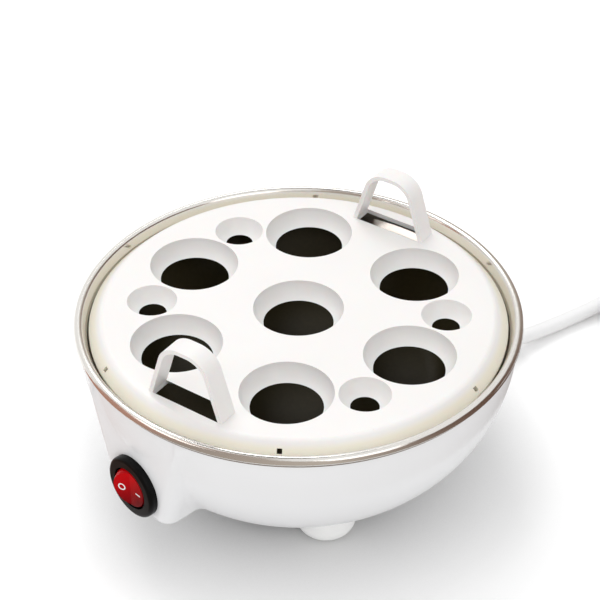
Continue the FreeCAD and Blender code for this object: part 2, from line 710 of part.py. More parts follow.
heat_plate = rod(2 * PLATE_RADIUS, Vector(0, 0, PLATE_BOTTOM), Vector(0, 0, PLATE_TOP))
plate_rim = edges_where(heat_plate, lambda e: e.BoundBox.ZMax < PLATE_BOTTOM + CLOSE)
heat_plate = heat_plate.makeChamfer(PLATE_CHAMFER, plate_rim)
clip_reach = PLATE_BOTTOM - CLIP_BOTTOM + CLIP_SCREW_BITE
clip_hole = CLIP_SCREW_DIAMETER + 2 * SCREW_CLEARANCE
clip_bores = [rod(clip_hole, p, p + UP * (clip_reach + SCREW_CLEARANCE)) for p in clip_spots]
export(heat_plate.cut(clip_bores), "heat_plate")


def make_element():
    first = ELEMENT_GAP_AZIMUTH + ELEMENT_GAP_HALF
    sweep = 360 - 2 * ELEMENT_GAP_HALF
    arcs = []
    for half in range(2):
        azimuths = [first + sweep * (half + share) / 2 for share in (0, 0.5, 1)]
        arcs.append(Part.Arc(*[at(a, ELEMENT_RADIUS, ELEMENT_HEIGHT) for a in azimuths]).toShape())
    slab = rod(2 * PLATE_RADIUS, Vector(0, 0, PLATE_BOTTOM), Vector(0, 0, PLATE_TOP))
    ring = tube(arcs, ELEMENT_DIAMETER).cut(slab)
    for point, along in element_ends.values():
        ring = ring.fuse(rod(COLD_PIN_DIAMETER, point, point + along * COLD_PIN_LENGTH))
    return ring


heating_element = make_element()
export(heating_element, "heating_element")

element_tabs = [(point + along * COLD_PIN_LENGTH, along, UP) for point, along in element_ends.values()]
export(Part.makeCompound([tab(*spot) for spot in element_tabs]), "element_terminals")


# Standoffs under the heat plate, and the screws that pull the bowl down onto the housing
def make_standoff(spot):
    post = rod(STANDOFF_DIAMETER, spot, Vector(spot.x, spot.y, PLATE_BOTTOM))
    bite = PAN_SCREW_LENGTH - LUG_THICKNESS + SCREW_TIP_ROOM
    return post.cut(rod(PAN_SCREW_DIAMETER + 2 * SCREW_CLEARANCE, spot, spot + UP * bite))


export(Part.makeCompound([make_standoff(spot) for spot in standoff_spots]), "pan_standoffs")

pan_screw = pan_head_screw(PAN_SCREW_DIAMETER, PAN_SCREW_LENGTH)
pan_screws = [placed(pan_screw, spot - UP * LUG_THICKNESS, UP, X_AXIS) for spot in standoff_spots]
export(Part.makeCompound(pan_screws), "pan_screws")

# Thermostat in the middle of the plate: metal cap and moulded base, held by a clip with two screws
cap_foot = PLATE_BOTTOM - CAP_HEIGHT
base_foot = cap_foot - THERMOSTAT_HEIGHT
thermostat_cap = rod(CAP_DIAMETER, Vector(0, 0, cap_foot), Vector(0, 0, PLATE_BOTTOM))
cap_rim = edges_where(thermostat_cap, lambda e: e.BoundBox.ZMin > PLATE_BOTTOM - CLOSE)
export(thermostat_cap.makeFillet(CAP_ROUND, cap_rim), "thermostat_cap")
thermostat_base = rod(THERMOSTAT_DIAMETER, Vector(0, 0, base_foot), Vector(0, 0, cap_foot))
base_rim = edges_where(thermostat_base, lambda e: e.BoundBox.ZMax < base_foot + CLOSE)
export(thermostat_base.makeChamfer(THERMOSTAT_CHAMFER, base_rim), "thermostat_base")

clip_corner = Vector(CLIP_HALF_WIDTH, CLIP_HALF_LENGTH, 0)
clip = box(UP * CLIP_BOTTOM - clip_corner, UP * cap_foot + clip_corner)
clip = clip.makeFillet(CLIP_CORNER, edges_where(clip, lambda e: e.BoundBox.ZLength > CLIP_THICKNESS / 2))
clip = clip.cut(rod(THERMOSTAT_DIAMETER + 4 * SCREW_CLEARANCE, UP * base_foot, UP * cap_foot))
export(clip.cut(clip_bores), "thermostat_clip")
clip_screw = pan_head_screw(CLIP_SCREW_DIAMETER, clip_reach)
export(Part.makeCompound([placed(clip_screw, p, UP, X_AXIS) for p in clip_spots]), "clip_screws")

thermostat_tabs = []
for side in (-1, 1):
    thermostat_tabs.append((Vector(side * THERMOSTAT_DIAMETER / 2, 0, TAB_HEIGHT), X_AXIS * side, UP))
export(Part.makeCompound([tab(*spot) for spot in thermostat_tabs]), "thermostat_terminals")


# Rocker switch: round frame that snaps into the boss, and the rocker on its upright pivot
def boss_frame(shape):
    """From the switch's own frame, +X outwards from the boss's face, to its place."""
    copy = shape.copy()
    copy.translate(Vector(BOSS_FACE, 0, SWITCH_HEIGHT))
    return turned(copy, BOSS_AZIMUTH)


def make_switch_frame():
    bezel = bar(2 * BEZEL_RADIUS, 0, BEZEL_HEIGHT)
    front = edges_where(bezel, lambda e: e.BoundBox.XMin > BEZEL_HEIGHT - CLOSE)
    bezel = bezel.makeFillet(BEZEL_ROUND, front)
    frame = bezel.fuse(bar(2 * SWITCH_BODY_RADIUS, -SWITCH_BODY_DEPTH, 0))
    for side in (-1, 1):
        low = SWITCH_BODY_RADIUS - LATCH_REACH
        high = SWITCH_BODY_RADIUS + LATCH_REACH
        catch = -WALL - SWITCH_HOLE_CLEARANCE
        pairs = ((catch, low), (catch, high), (catch - LATCH_LENGTH, low), (catch, low))
        wedge = Part.Face(Part.makePolygon([Vector(x, y, -LATCH_WIDTH / 2) for x, y in pairs]))
        wedge = wedge.extrude(UP * LATCH_WIDTH)
        wedge.rotate(ORIGIN, X_AXIS, 90 - side * 90)
        frame = frame.fuse(wedge)
    well = bar(2 * (ROCKER_RADIUS + ROCKER_CLEARANCE), -ROCKER_WELL_DEPTH, BEZEL_HEIGHT)
    reach = ROCKER_RADIUS + ROCKER_CLEARANCE + PIVOT_REACH + PIVOT_CLEARANCE
    pivot = rod(2 * (PIVOT_RADIUS + PIVOT_CLEARANCE), Vector(0, 0, -reach), Vector(0, 0, reach))
    return boss_frame(frame.cut([well, pivot]).removeSplitter())


def make_rocker():
    rise = ROCKER_VALLEY + ROCKER_RADIUS * math.tan(math.radians(ROCKER_TILT))
    r = ROCKER_RADIUS
    pairs = ((-ROCKER_UNDERSIDE, -r), (-ROCKER_UNDERSIDE, r), (rise, r), (ROCKER_VALLEY, 0), (rise, -r))
    corners = [Vector(x, y, -r) for x, y in pairs]
    slab = Part.Face(Part.makePolygon(corners + corners[:1])).extrude(Vector(0, 0, 2 * r))
    button = Part.makeSphere(r).common(slab)
    reach = r + ROCKER_CLEARANCE + PIVOT_REACH
    button = button.fuse(rod(2 * PIVOT_RADIUS, Vector(0, 0, -reach), Vector(0, 0, reach))).removeSplitter()
    button.rotate(ORIGIN, UP, ROCKER_TILT)
    return boss_frame(button)


switch_frame = make_switch_frame()
export(switch_frame, "switch_frame")
switch_rocker = make_rocker()
export(switch_rocker, "switch_rocker")

inward = at(BOSS_AZIMUTH, -1)
across = at(BOSS_AZIMUTH, 0, 0, 1)
switch_tabs = []
for side in (-1, 1):
    spot = at(BOSS_AZIMUTH, BOSS_FACE - SWITCH_BODY_DEPTH, SWITCH_HEIGHT, side * SWITCH_TAB_SPACING / 2)
    switch_tabs.append((spot, inward, across))
export(Part.makeCompound([tab(*spot) for spot in switch_tabs]), "switch_terminals")

earth_tab = (at(EARTH_TAB_AZIMUTH, STANDOFF_RADIUS, PLATE_BOTTOM), UP * -1, at(EARTH_TAB_AZIMUTH, 1))
export(tab(*earth_tab), "earth_tab")

all_tabs = element_tabs + thermostat_tabs + switch_tabs + [earth_tab]
export(Part.makeCompound([socket(*spot) for spot in all_tabs]), "lead_sockets")

# Cord inside the housing, its strain relief and its clamp
export(at_outlet(bar(CORD_DIAMETER, -CORD_INSIDE, RELIEF_LENGTH)), "cord_entry")


def make_strain_relief():
    bore = CORD_DIAMETER / 2 + CORD_BORE_CLEARANCE
    neck = RELIEF_NECK_DIAMETER / 2
    flange = RELIEF_FLANGE_DIAMETER / 2
    return at_outlet(spun([
        (-RELIEF_NECK_LENGTH, bore),
        (-RELIEF_NECK_LENGTH, neck),
        (0, neck),
        (0, flange),
        (RELIEF_FLANGE_THICKNESS, flange),
        (RELIEF_FLANGE_THICKNESS, RELIEF_ROOT_DIAMETER / 2),
        (RELIEF_LENGTH, RELIEF_TIP_DIAMETER / 2),
        (RELIEF_LENGTH, bore),
    ]))


export(make_strain_relief(), "strain_relief")


def make_clamp():
    low = -CLAMP_GAP - CLAMP_THICKNESS
    first = CLAMP_CENTRE - CLAMP_LENGTH / 2
    last = CLAMP_CENTRE + CLAMP_LENGTH / 2
    bridge = box((first, -CLAMP_HALF_WIDTH, low), (last, CLAMP_HALF_WIDTH, -CLAMP_GAP))
    ends = edges_where(bridge, lambda e: e.BoundBox.ZMax < low + CLOSE and e.BoundBox.XLength > CLOSE)
    bridge = bridge.makeFillet(CLAMP_ROUND, ends)
    bridge = bridge.cut(bar(CORD_DIAMETER + 2 * CORD_BORE_CLEARANCE, first, last))
    hole = CLAMP_SCREW_DIAMETER + 4 * SCREW_CLEARANCE
    for side in (-1, 1):
        spot = Vector(CLAMP_CENTRE, side * CLAMP_SCREW_OFFSET, low)
        bridge = bridge.cut(rod(hole, spot, spot + UP * CLAMP_THICKNESS))
    return at_outlet(bridge)


export(make_clamp(), "cord_clamp")
clamp_screw = pan_head_screw(CLAMP_SCREW_DIAMETER, CLAMP_THICKNESS + CLAMP_SCREW_BITE)
clamp_screws = []
for side in (-1, 1):
    seat = Vector(CLAMP_CENTRE, side * CLAMP_SCREW_OFFSET, -CLAMP_GAP - CLAMP_THICKNESS)
    local = placed(clamp_screw, seat, UP, X_AXIS)
    clamp_screws.append(at_outlet(Part.makeCompound([local])).Solids[0])
export(Part.makeCompound(clamp_screws), "clamp_screws")


# Leads from the cord's cores to the switch, the thermostat, the heater and earth
def socket_end(spot):
    origin, along, top = spot
    return origin + along * SOCKET_REACH


def core_end(number):
    """Where one of the three cores comes out of the cord's jacket."""
    a = math.radians(90 + 120 * number)
    side = OUTLET_UP.cross(OUTLET_ALONG)
    offset = (side * math.cos(a) + OUTLET_UP * math.sin(a)) * (CORD_DIAMETER / 4)
    return OUTLET_ORIGIN - OUTLET_ALONG * CORD_INSIDE + offset


def led_out(point, along):
    """A lead's end and the point that it runs straight on to."""
    return [point, point + along * LEAD_STRAIGHT]


def from_socket(spot):
    return led_out(socket_end(spot), spot[1])


def to_socket(spot):
    return from_socket(spot)[::-1]


def from_core(number):
    return led_out(core_end(number), OUTLET_ALONG * -1)


def chamber(x, y, z):
    """Point under the heat plate, in shares of the standoffs' radius and of the height above the cover."""
    height = COVER_FLOOR + z * (PLATE_BOTTOM - COVER_FLOOR)
    return Vector(x * STANDOFF_RADIUS, y * STANDOFF_RADIUS, height)


heater_neutral, heater_live = element_tabs
thermostat_left, thermostat_right = thermostat_tabs
switch_left, switch_right = switch_tabs
fuse_start = chamber(0.329, 0.608, 0.335)
fuse_along = Vector(0, -1, 0)
fuse_end = fuse_start + fuse_along * FUSE_LENGTH

live_points = [
    chamber(0.025, 0.709, 0.401),
    chamber(-0.101, 0.203, 0.187),
    chamber(-0.165, -0.456, 0.226),
    chamber(-0.135, -0.835, 0.556),
]
switched_points = [
    chamber(0.177, -0.835, 0.556),
    chamber(0.380, -0.557, 0.362),
    chamber(0.633, -0.253, 0.342),
    chamber(0.759, -0.101, 0.479),
]
heater_points = [
    chamber(-0.747, 0.127, 0.440),
    chamber(-0.557, 0.506, 0.284),
    chamber(-0.228, 0.709, 0.323),
    chamber(-0.106, 0.886, 0.595),
]
fuse_points = [chamber(0.076, 0.848, 0.732), chamber(0.203, 0.772, 0.479)]
neutral_points = [
    chamber(0.405, -0.177, 0.245),
    chamber(0.557, -0.076, 0.167),
    chamber(0.608, 0.203, 0.148),
    chamber(0.532, 0.557, 0.167),
    chamber(0.329, 0.810, 0.284),
]
earth_points = [chamber(0.684, 0.608, 0.206), chamber(0.380, 0.899, 0.712)]

leads = {
    "lead_live": from_core(2) + live_points + to_socket(switch_left),
    "lead_switched": from_socket(switch_right) + switched_points + to_socket(thermostat_right),
    "lead_heater": from_socket(thermostat_left) + heater_points + to_socket(heater_live),
    "lead_fuse": from_socket(heater_neutral) + fuse_points + led_out(fuse_start, fuse_along * -1)[::-1],
    "lead_neutral": led_out(fuse_end, fuse_along) + neutral_points + from_core(1)[::-1],
    "lead_earth": from_socket(earth_tab) + earth_points + from_core(0)[::-1],
}
for name, points in leads.items():
    export(routed(points, LEAD_DIAMETER), name)

thermal_fuse = rod(FUSE_DIAMETER, fuse_end, fuse_start)
fuse_ends = edges_where(thermal_fuse, lambda e: e.BoundBox.YLength < CLOSE)
export(thermal_fuse.makeFillet(FUSE_ROUND, fuse_ends), "thermal_fuse")


# Tray: moulded plate with a sloping skirt, cups for the wells and vents, and two strap handles
def cup(top_radius, hole_radius, depth):
    """Hanging wall of a well or a vent, and the space that it encloses."""
    rim = Vector(top_radius, 0, 0)
    middle = Vector((top_radius + hole_radius) / 2 + CUP_BULGE, 0, -depth / 2)
    foot = Vector(hole_radius, 0, -depth)
    wet = Part.Arc(rim, middle, foot).toShape()
    outward = X_AXIS * TRAY_WALL
    dry = Part.Arc(foot + outward, middle + outward, rim + outward).toShape()
    wall = swept_round([wet, line(foot, foot + outward), dry, line(rim + outward, rim)])
    corners = [foot, UP * -depth, UP * TRAY_WALL, rim + UP * TRAY_WALL, rim]
    space = swept_round([wet] + [line(a, b) for a, b in zip(corners, corners[1:])])
    return wall, space


def make_handle(azimuth):
    """Strap bent to an arch over its slot, and the slot."""
    slot_half = HANDLE_SPAN / 2
    half_span = slot_half + HANDLE_THICKNESS
    shift = HANDLE_HEIGHT * math.tan(math.radians(HANDLE_LEAN))
    inner_face = HANDLE_RADIUS - HANDLE_WIDTH / 2
    roots = [Vector(inner_face, side * half_span, TRAY_TOP - TRAY_WALL) for side in (-1, 1)]
    feet = [root + UP * TRAY_WALL for root in roots]
    crown = [Vector(inner_face, side * (half_span - shift), TRAY_TOP + HANDLE_HEIGHT) for side in (-1, 1)]
    arch = rounded_edges([feet[0], crown[0], crown[1], feet[1]], [HANDLE_CROWN, HANDLE_CROWN])
    edges = [line(roots[0], feet[0])] + arch + [line(feet[1], roots[1])]
    section = Part.Wire(edges).makeOffset2D(HANDLE_THICKNESS, 2, True, True)
    strap = section.extrude(X_AXIS * HANDLE_WIDTH)
    slot = box((inner_face, -slot_half, TRAY_FOOT), (inner_face + HANDLE_WIDTH, slot_half, TRAY_TOP + CLOSE))
    return turned(strap, azimuth), turned(slot, azimuth)


def make_tray():
    slope = math.tan(math.radians(TRAY_SKIRT_ANGLE))
    shoulder = TRAY_RADIUS - TRAY_SKIRT_HEIGHT / slope
    brim = Vector(TRAY_RADIUS, 0, TRAY_TOP - TRAY_SKIRT_HEIGHT)
    points = [Vector(0, 0, TRAY_TOP), Vector(shoulder, 0, TRAY_TOP), brim]
    edges = rounded_edges(points, [TRAY_SHOULDER])
    inner = TRAY_RADIUS - TRAY_FOOT_WIDTH
    under = TRAY_TOP - TRAY_WALL
    foot_ring = [Vector(TRAY_RADIUS, 0, TRAY_FOOT), Vector(inner, 0, TRAY_FOOT)]
    underside = [Vector(inner - (under - TRAY_FOOT) / slope, 0, under), Vector(0, 0, under)]
    corners = [brim] + foot_ring + underside + [points[0]]
    edges += [line(a, b) for a, b in zip(corners, corners[1:])]
    plate = swept_round(edges)
    gaps = [TRAY_AZIMUTH + (i + 0.5) * 360 / WELL_COUNT for i in range(WELL_COUNT)]
    handle_gaps = (gaps[WELL_COUNT - 1], gaps[WELL_COUNT // 2 - 1])
    vents = [at(a, VENT_PITCH_RADIUS, TRAY_TOP) for a in gaps if a not in handle_gaps]
    well_azimuths = [TRAY_AZIMUTH + i * 360 / WELL_COUNT for i in range(WELL_COUNT)]
    wells = [at(a, WELL_PITCH_RADIUS, TRAY_TOP) for a in well_azimuths] + [UP * TRAY_TOP]
    well_cup = cup(WELL_TOP_RADIUS, WELL_HOLE_RADIUS, WELL_DEPTH)
    vent_cup = cup(VENT_TOP_RADIUS, VENT_HOLE_RADIUS, VENT_DEPTH)
    walls = []
    spaces = []
    for spots, (wall, space) in ((wells, well_cup), (vents, vent_cup)):
        for spot in spots:
            walls.append(wall.translated(spot))
            spaces.append(space.translated(spot))
    for azimuth in handle_gaps:
        strap, slot = make_handle(azimuth)
        walls.append(strap)
        spaces.append(slot)
    drain_corner = Vector(TRAY_SKIRT_HEIGHT, DRAIN_SIDE / 2, DRAIN_SIDE / 2)
    drain = box(drain_corner * -1, drain_corner)
    drain.rotate(ORIGIN, Vector(0, 1, 0), -TRAY_SKIRT_ANGLE)
    drain.translate(Vector(DRAIN_RADIUS, 0, TRAY_TOP - (DRAIN_RADIUS - shoulder) * slope))
    spaces += [turned(drain, azimuth) for azimuth in well_azimuths]
    return plate.fuse(walls).cut(spaces).removeSplitter()


egg_tray = make_tray()
export(egg_tray, "egg_tray")


# Coil of the cord: it spirals in on the table, climbs a layer while it turns back, and spirals out on top
def biarc(a, along_a, b, along_b):
    """Two arcs, tangent to each other and to the directions at both ends."""
    v = b - a
    t = along_a + along_b
    square = 2 * (1 - along_a.dot(along_b))
    reach = (-v.dot(t) + math.sqrt(v.dot(t) ** 2 + square * v.dot(v))) / square
    first = a + along_a * reach
    second = b - along_b * reach
    joint = (first + second) * 0.5
    return [tangent_arc(a, first, joint), tangent_arc(joint, second, b)]


COIL_TURNS = 2 * COIL_TURNS_EACH_LAYER + 0.5
COIL_REVERSE = COIL_TURNS / 2
COIL_OUTER = COIL_MIDDLE_RADIUS + COIL_STEP * COIL_REVERSE / 2
COIL_LOW = COIL_LIFT + CORD_DIAMETER / 2
coil_slant = math.degrees(math.atan2(COIL_STEP, 2 * math.pi * COIL_OUTER))
coil_first_angle = COIL_HEADING + 90 + coil_slant
coil_centre = at(OUTLET_AZIMUTH, COIL_START_RADIUS) - at(coil_first_angle, COIL_OUTER)


def coil_point(turns):
    radius = COIL_OUTER - COIL_STEP * (COIL_REVERSE - abs(COIL_REVERSE - turns))
    climb = min(max((turns - COIL_TURNS_EACH_LAYER) / 0.5, 0.0), 1.0)
    rise = climb * climb * (3 - 2 * climb)
    return coil_centre + at(coil_first_angle - 360 * turns, radius, COIL_LOW + COIL_STEP * rise)


def coil_direction(turns):
    small = 1e-4
    return unit(coil_point(min(turns + small, COIL_TURNS)) - coil_point(max(turns - small, 0.0)))


def make_coil():
    steps = round(COIL_TURNS * COIL_PIECES_PER_TURN)
    marks = [COIL_TURNS * i / steps for i in range(steps + 1)]
    edges = []
    for first, last in zip(marks, marks[1:]):
        edges += biarc(coil_point(first), coil_direction(first), coil_point(last), coil_direction(last))
    start = coil_point(0) - coil_direction(0) * CORD_DIAMETER
    end = coil_point(COIL_TURNS) + coil_direction(COIL_TURNS) * CORD_DIAMETER
    edges = [line(start, coil_point(0))] + edges + [line(coil_point(COIL_TURNS), end)]
    return edges, start, end


coil_edges, coil_start, coil_end = make_coil()
cord_coil = tube(coil_edges, CORD_DIAMETER)
export(cord_coil, "cord_coil")

coil_marks = [i / COIL_SAMPLES for i in range(int(COIL_TURNS * COIL_SAMPLES) + 1)]
coil_samples = [(mark, coil_point(mark)) for mark in coil_marks]
least = min((p - q).Length for s, p in coil_samples for t, q in coil_samples if t - s > 0.5)
print("coil length", round(sum(e.Length for e in coil_edges), 1))
print("least gap between turns", round(least - CORD_DIAMETER, 2))


# Tie round the bundle of turns
def make_tie():
    passes = []
    for whole in range(-1, int(COIL_TURNS) + 2):
        turns = (coil_first_angle - TIE_ANGLE) / 360 + whole
        if 0 <= turns <= COIL_TURNS:
            passes.append(coil_point(turns) - coil_centre)
    radii = [math.hypot(p.x, p.y) for p in passes]
    half = CORD_DIAMETER / 2 + TIE_CLEARANCE
    low, high = min(radii) - half, max(radii) + half
    top = max(p.z for p in passes) + half
    side = TIE_WIDTH / 2
    outside = box((low - TIE_THICKNESS, -side, 0), (high + TIE_THICKNESS, side, top + TIE_THICKNESS))
    inside = box((low, -side, TIE_THICKNESS), (high, side, top))

    def rounded(block, radius):
        return block.makeFillet(radius, edges_where(block, lambda e: e.BoundBox.YLength > side))

    band = turned(rounded(outside, TIE_CORNER).cut(rounded(inside, TIE_CORNER - TIE_THICKNESS)), TIE_ANGLE)
    band.translate(coil_centre)
    return band


export(make_tie(), "coil_tie")

# Cord on the table, from the strain relief to the coil
outlet_tip = OUTLET_ORIGIN + OUTLET_ALONG * RELIEF_LENGTH
free_route = [outlet_tip, outlet_tip + OUTLET_ALONG * CORD_RUN_OUT]
free_route += [at(OUTLET_AZIMUTH, *point) for point in CORD_LAY_POINTS]
free_route += [coil_start - coil_direction(0) * CORD_RUN_IN, coil_start]

# Tail of the cord, from the coil up to the plug
plug_along = unit(coil_direction(COIL_TURNS))
tail_run = plug_along * TAIL_RUN
plug_entry = coil_end + plug_along * TAIL_REACH
plug_entry.z = PLUG_AXIS_HEIGHT
tail_route = [coil_end, coil_end + tail_run, plug_entry - tail_run, plug_entry]
for name, route in (("cord_free", free_route), ("cord_tail", tail_route)):
    edges = rounded_edges(route, cord_radii(route))
    solid = tube(edges, CORD_DIAMETER)
    length = sum(e.Length for e in edges)
    filled = solid.Volume / (length * math.pi * CORD_DIAMETER ** 2 / 4)
    print(name, "length", round(length, 1), "filled", round(filled, 3))
    print(name, "radii", [round(r) for r in cord_radii(route)])
    export(solid, name)


# Plug: moulded grip with a round head, two pins and side earth contacts
def make_plug():
    sleeve_end = PLUG_SLEEVE_LENGTH
    grip_end = sleeve_end + PLUG_GRIP_LENGTH
    front = grip_end + PLUG_HEAD_LENGTH
    body = spun([
        (0, 0),
        (0, CORD_DIAMETER / 2 + PLUG_SLEEVE_WALL),
        (sleeve_end, PLUG_SLEEVE_RADIUS),
        (sleeve_end + PLUG_GRIP_STEP, PLUG_GRIP_RADIUS),
        (grip_end - PLUG_HEAD_SLOPE, PLUG_GRIP_RADIUS + PLUG_GRIP_FLARE),
        (grip_end, PLUG_RADIUS),
        (front, PLUG_RADIUS),
        (front, 0),
    ])
    widest = 2 * PLUG_RADIUS - CLOSE
    head_rims = edges_where(body, lambda e: e.BoundBox.XLength < CLOSE and e.BoundBox.YLength > widest)
    body = body.makeFillet(PLUG_HEAD_ROUND, head_rims)
    body = body.common(box((0, -PLUG_RADIUS, -PLUG_FLAT_HALF), (front, PLUG_RADIUS, PLUG_FLAT_HALF)))
    floor = PLUG_FLAT_HALF - EARTH_GROOVE_DEPTH
    half = EARTH_STRIP_WIDTH / 2
    groove_half = half + EARTH_GROOVE_CLEARANCE
    groove = box((front - EARTH_STRIP_LENGTH, -groove_half, floor), (front, groove_half, PLUG_RADIUS))
    strip_start = front - EARTH_STRIP_LENGTH + EARTH_GROOVE_CLEARANCE
    strip = box((strip_start, -half, floor), (front, half, floor + EARTH_STRIP_THICKNESS))
    strips = []
    for turn in (0, 180):
        body = body.cut(groove.rotated(ORIGIN, X_AXIS, turn))
        strips.append(strip.rotated(ORIGIN, X_AXIS, turn))
    pins = []
    for side in (-1, 1):
        foot = Vector(front, side * PIN_SPACING / 2, 0)
        pin = rod(PIN_DIAMETER, foot, foot + X_AXIS * PIN_LENGTH)
        tip = edges_where(pin, lambda e: e.BoundBox.XMin > front + PIN_LENGTH - CLOSE)
        pins.append(pin.makeFillet(PIN_ROUND, tip))
    return body, Part.makeCompound(pins), Part.makeCompound(strips)


for name, shape in zip(("plug_body", "plug_pins", "plug_earth"), make_plug()):
    export(placed(shape, plug_entry, plug_along, UP), name)
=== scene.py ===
import math

import bmesh
import bpy
from mathutils import Matrix, Vector


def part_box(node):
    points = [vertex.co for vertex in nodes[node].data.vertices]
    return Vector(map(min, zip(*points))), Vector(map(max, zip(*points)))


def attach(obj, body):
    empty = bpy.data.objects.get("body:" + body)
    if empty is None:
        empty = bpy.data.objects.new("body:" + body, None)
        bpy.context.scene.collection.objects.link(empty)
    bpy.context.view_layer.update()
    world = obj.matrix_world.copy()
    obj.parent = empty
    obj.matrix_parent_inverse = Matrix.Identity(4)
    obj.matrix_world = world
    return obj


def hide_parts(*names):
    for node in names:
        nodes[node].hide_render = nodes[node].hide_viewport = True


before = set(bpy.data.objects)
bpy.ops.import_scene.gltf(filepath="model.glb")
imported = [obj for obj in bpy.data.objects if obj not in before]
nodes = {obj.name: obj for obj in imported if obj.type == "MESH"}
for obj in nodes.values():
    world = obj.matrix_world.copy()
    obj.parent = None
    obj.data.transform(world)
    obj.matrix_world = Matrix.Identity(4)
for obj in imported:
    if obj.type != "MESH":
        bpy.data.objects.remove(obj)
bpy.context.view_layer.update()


# Studio
# A white table under a wide soft lamp overhead, with a weaker lamp at each side of the camera.
# The table and the room show as white. The table keeps the soft shadow of the cooker, deepened close to it
# by a painted shadow.
def linear(hex_colour):
    """Linear RGBA of an sRGB hex value."""
    parts = [int(hex_colour[i:i + 2], 16) / 255 for i in (0, 2, 4)]
    return [p / 12.92 if p <= 0.04045 else ((p + 0.055) / 1.055) ** 2.4 for p in parts] + [1.0]


def add_node(tree, kind, inputs=None, **settings):
    """New node with its settings, and with a value or a link for each named input."""
    node = tree.nodes.new(kind)
    for name, value in settings.items():
        setattr(node, name, value)
    for name, value in (inputs or {}).items():
        if isinstance(value, bpy.types.NodeSocket):
            tree.links.new(value, node.inputs[name])
        else:
            node.inputs[name].default_value = value
    return node


def empty_material(name):
    """New material without nodes, and its node tree."""
    material = bpy.data.materials.new(name)
    material.use_nodes = True
    material.node_tree.nodes.clear()
    return material, material.node_tree


def seen_directly(tree):
    """1 for rays that show the room itself: from the camera, off a mirror or through glass."""
    path = add_node(tree, "ShaderNodeLightPath").outputs
    either = add_node(tree, "ShaderNodeMath", {
        0: path["Is Camera Ray"], 1: path["Is Glossy Ray"]}, operation="MAXIMUM")
    return add_node(tree, "ShaderNodeMath", {
        0: either.outputs[0], 1: path["Is Transmission Ray"]}, operation="MAXIMUM").outputs[0]


scene = bpy.context.scene
scene.view_settings.view_transform = "Standard"

camera_data = bpy.data.cameras.new("camera")
camera_data.sensor_width = 36.0
camera_data.lens = 106.56
camera = bpy.data.objects.new("camera", camera_data)
camera.location = (0.3683, -0.3411, 0.4530)
camera.rotation_euler = [math.radians(turn) for turn in (52.705, 0.135, 47.03)]
scene.collection.objects.link(camera)
scene.camera = camera

white = linear("FFFFFF")
world = bpy.data.worlds.new("studio_room")
world.use_nodes = True
room = world.node_tree
room.nodes.clear()
fill_light = add_node(room, "ShaderNodeBackground", {"Color": white, "Strength": 0.78})
white_room = add_node(room, "ShaderNodeBackground", {"Color": white, "Strength": 1.0})
room_seen = add_node(room, "ShaderNodeMixShader", {
    0: seen_directly(room), 1: fill_light.outputs[0], 2: white_room.outputs[0]})
add_node(room, "ShaderNodeOutputWorld", {"Surface": room_seen.outputs[0]})
scene.world = world

# Sockets of a colour Mix node: its share, its first and second colour, and its result
share_in, first_in, second_in, mix_out = 0, 6, 7, 2
millimetre = 0.001
square_corners = ((-1, -1), (1, -1), (1, 1), (-1, 1))
table_half = 3.0
table_below = 0.1 * millimetre
table_bright, painted_shadow_level = 1.06, 0.58
shade_reach = 40.0 * millimetre
shade_full, shade_gone = 90.0 * millimetre, 110.0 * millimetre
table_mesh = bpy.data.meshes.new("table")
table_mesh.from_pydata(
    [(table_half * x, table_half * y, -table_below) for x, y in square_corners], [], [(0, 1, 2, 3)])
table = bpy.data.objects.new("table", table_mesh)
scene.collection.objects.link(table)
table_top, tree = empty_material("white_table_top")
table_place = add_node(tree, "ShaderNodeTexCoord").outputs["Object"]
off_axis = add_node(tree, "ShaderNodeVectorMath", {0: table_place}, operation="LENGTH").outputs["Value"]
far_off = add_node(tree, "ShaderNodeMapRange", {
    "Value": off_axis, "From Min": shade_full, "From Max": shade_gone}).outputs[0]
# Painted shadow: the directly seen table darkens where the cooker closes it in, fading out between
# shade_full and shade_gone from the axis
closed_in = add_node(tree, "ShaderNodeAmbientOcclusion", {"Distance": shade_reach}, samples=8)
unshaded = add_node(tree, "ShaderNodeMath", {0: closed_in.outputs["AO"], 1: far_off}, operation="MAXIMUM")
table_shown = add_node(tree, "ShaderNodeMix", {
    share_in: unshaded.outputs[0], first_in: [painted_shadow_level] * 3 + [1.0],
    second_in: [table_bright] * 3 + [1.0]}, data_type="RGBA")
table_colour = add_node(tree, "ShaderNodeMix", {
    share_in: seen_directly(tree), first_in: linear("F0F0F0"),
    second_in: table_shown.outputs[mix_out]}, data_type="RGBA")
matt = add_node(tree, "ShaderNodeBsdfDiffuse", {"Color": table_colour.outputs[mix_out]})
add_node(tree, "ShaderNodeOutputMaterial", {"Surface": matt.outputs[0]})
table_mesh.materials.append(table_top)

cooker_middle = Vector((0.0, 0.0, 0.04))


def soft_lamp(name, place, width, power):
    """Square lamp that points at the middle of the cooker."""
    data = bpy.data.lights.new(name, "AREA")
    data.size = width
    data.energy = power
    lamp = bpy.data.objects.new(name, data)
    lamp.location = place
    toward = cooker_middle - Vector(place)
    lamp.rotation_euler = toward.to_track_quat("-Z", "Y").to_euler()
    scene.collection.objects.link(lamp)


soft_lamp("top_lamp", place=(-0.75, 0.3, 1.4), width=0.8, power=7.5)
soft_lamp("left_lamp", place=(-0.5, -1.4, 0.9), width=0.9, power=3.5)
soft_lamp("right_lamp", place=(1.3, -0.3, 0.8), width=0.9, power=3.4)


